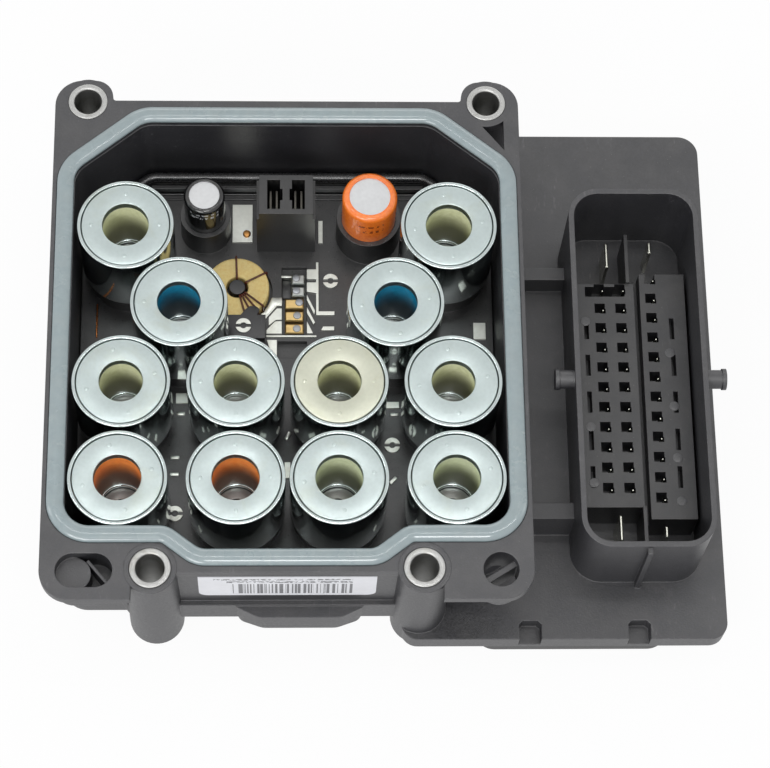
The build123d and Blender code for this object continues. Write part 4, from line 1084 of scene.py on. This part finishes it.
trimSet = {
    "tinnedFrom": 33.3,  # y of the line between the gold pads and the tinned ones
    "solderRadius": 1.05,
    "solderHeight": 0.26,
    "solderTop": -27.72,
    "solders": [(2.2, 38.5), (2.2, 35.1), (2.9, 31.9), (2.4, 28.4), (2.3, 24.9)],
    "clips": [(-27.1, -8.9, 0.0), (-27.2, -13.2, 0.0), (-25.9, 2.4, 0.0), (26.0, 2.2, 0.0), (-24.2, -30.1, -35.0),
              (24.4, -30.1, 35.0), (0.1, -3.3, 60.0), (25.5, -14.8, 45.0)],
    "clipHalf": (1.05, 0.42),
    "clipLevels": (-28.2, -27.55),
    "plates": [  # name, finish, slot, outline, lower and upper level
        ("leadStripLeft", "tinnedStrip", "tinned_strip",
         [(-6.68, 28.46), (-4.91, 28.47), (-3.14, 30.83), (-1.33, 30.84), (-1.34, 33.11), (-3.88, 33.11),
          (-4.31, 31.95), (-4.94, 30.59), (-5.8, 29.36)], -28.0, -27.4),
        ("leadStripShort", "tinnedStrip", "tinned_strip",
         [(-1.5, 39.12), (1.04, 39.12), (1.04, 38.52), (-1.5, 38.52)], -29.6, -27.5),
        # the black plate below stands for the dark of the window: painted shade
        ("windowInsert", "socketPlastic", "deck_plastic",
         [(-1.4, 38.4), (0.85, 38.4), (0.85, 33.51), (-1.4, 33.51)], -29.7, -29.0),
    ],
    "rivet": (-10.1, 50.4, -27.5),
    "copperStrip": [(-46.8, 22.4), (-46.8, 31.2)],
    "ejectors": [(92.95, 14.9), (93.3, 1.0), (93.4, -12.3), (93.8, -23.2), (72.8, -4.3), (73.0, -18.6), (72.7, 23.2)],
    "ejectorRadius": 1.2,
}


def makeTrim():
    radius, height = trimSet["solderRadius"], trimSet["solderHeight"]
    dome = roundedLoop([(0.0, -0.1, 0.0), (radius, -0.1, 0.0), (radius * 0.86, height * 0.7, height * 0.3),
                        (0.0, height, 0.0)])
    places = [(x, y, trimSet["solderTop"]) for x, y in trimSet["solders"]]
    copies("padSolder", turnedMesh("solderPart", dome, 20), places, "solder")
    for name, finish, slotName, outline, low, high in trimSet["plates"]:
        addPiece(name, plateMesh(name, outline, low, high, 0.08), finish)
    half, depth = trimSet["clipHalf"]
    low, high = trimSet["clipLevels"]
    outline = [(-half, -depth), (half, -depth), (half, depth), (-half, depth)]
    clip = plateMesh("clipPart", outline, low, high, 0.1)
    for vertex in clip.vertices:  # a part for copies lies round the frame's origin
        vertex.co -= origin
    turns = [turn for x, y, turn in trimSet["clips"]]
    places = [(x, y, 0.0) for x, y, turn in trimSet["clips"]]
    copies("contactClips", clip, places, "tinnedStrip", (), turns)
    head = roundedLoop([(0.0, -0.1, 0.0), (1.0, -0.1, 0.0), (0.95, 0.45, 0.25), (0.0, 0.55, 0.0)])
    copies("brassRivet", turnedMesh("rivetPart", head, 24), [trimSet["rivet"]], "brass")
    path = [(x, y, -27.6, 0.0) for x, y in trimSet["copperStrip"]]
    strip = beadMesh("copperStrip", path, False, "copperWire", Width=0.22, Crown=0.6, Foot=0.4, Fullness=0.5)
    addPiece("copperStrip", strip, "copperWire")
    radius = trimSet["ejectorRadius"]
    mark = roundedLoop([(0.0, -0.2, 0.0), (radius, -0.2, 0.0), (radius, 0.06, 0.04), (0.0, 0.02, 0.0)])
    places = [(x, y, -19.0) for x, y in trimSet["ejectors"]]
    copies("ejectorMarks", turnedMesh("ejectorPart", mark, 28), places, "ejectorPlastic")
    print("stage: trim")


stripMoves = [  # where, reach and shift in mm
    ((-25.6, -12.6), 3.2, (-1.3, -10.6, 0.0)),
    ((25.4, -12.4), 3.2, (0.0, 6.6, 0.0)),
    ((-10.89, 24.19), 2.9, (0.12, -0.2, 3.95)),
]


def makePads():  # the two rear pads are tinned, the three front ones gold
    edge = spot(0.0, trimSet["tinnedFrom"]).y
    for name, finish, front in (("weldPads", "goldPad", True), ("tinnedPads", "greyPad", False)):
        mesh = smoothMesh("weld_pads", name, 32.0)
        work = bmesh.new()
        work.from_mesh(mesh)
        unwanted = [face for face in work.faces if (face.calc_center_median().y < edge) != front]
        bmesh.ops.delete(work, geom=unwanted, context="FACES")
        work.to_mesh(mesh)
        work.free()
        addPiece(name, mesh, finish, ("weld_pads",) if front else ())


def makeStrips():  # three rivet heads are moved, by up to 10.7 mm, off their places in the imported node
    mesh = smoothMesh("lead_frame", "leadStrips", 32.0)
    for (x, y), reach, shift in stripMoves:
        centre = spot(x, y)
        for vertex in mesh.vertices:
            if math.hypot(vertex.co.x - centre.x, vertex.co.y - centre.y) < reach * mm:
                vertex.co += Vector(shift) * mm
    addPiece("leadStrips", mesh, "tinnedStrip", ("lead_frame",))


def makeSleeve(node, canNode, finish, name, shoulder, lipShare):  # shrunk film with a rolled shoulder
    low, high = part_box(node)
    radius = (high.x - low.x) / 2 / mm
    foot, top = (low.z - origin.z) / mm, (high.z - origin.z) / mm
    canTop = (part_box(canNode)[1].z - origin.z) / mm
    bore, lip = radius - 0.3, radius * lipShare
    section = roundedLoop([(bore, foot, 0.0), (radius, foot, 0.0), (radius, top, shoulder), (lip, top, 0.1),
                           (lip, canTop, 0.0), (bore, canTop, shoulder * 0.7)], 6)
    copies(name, turnedMesh(name + "Part", section, 72), [placeOf(node)], finish, (node,))


dressedFirst = [
    ("housing", "housingPlastic", "housingMoulding"),
    ("cover", "coverPlastic", "coverLid"),
    ("deck", "deckPlastic", "deckMoulding"),
    ("circuit_board", "boardLaminate", "circuitBoard"),
    ("board_chips", "chipPlastic", "boardChips"),
]
capacitors = [  # size word, sleeve finish, radius of the rolled shoulder, lip as a share of the radius
    ("small", "capSleeveBlack", 1.1, 0.74),
    ("large", "capSleeveOrange", 1.3, 0.74),
]
dressedLast = [
    ("pin_guide", "guidePlastic", "pinGuide"),
    ("power_blades", "pinMetal", "powerBlades"),
    ("label", "labelPaper", "wallLabel"),
]

for node, finish, name in dressedFirst:
    dress(node, finish, name)
makeStrips()
makePads()
dress("motor_socket", "socketPlastic", "motorSocket")
dress("motor_forks", "shadedForkMetal", "motorForks")
for word, finish, shoulder, lipShare in capacitors:
    can = f"{word}_capacitor_can"
    dress(can, "capAluminium", f"{word}CapacitorCan")
    makeSleeve(f"{word}_capacitor_sleeve", can, finish, f"{word}CapacitorSleeve", shoulder, lipShare)
for node, finish, name in dressedLast:
    dress(node, finish, name)
print("stage: dressed mouldings and boards")
makeCoils()
makeSeal()
makeSleeves()
makePins()
makeChoke()
makeRail()
makeTrim()
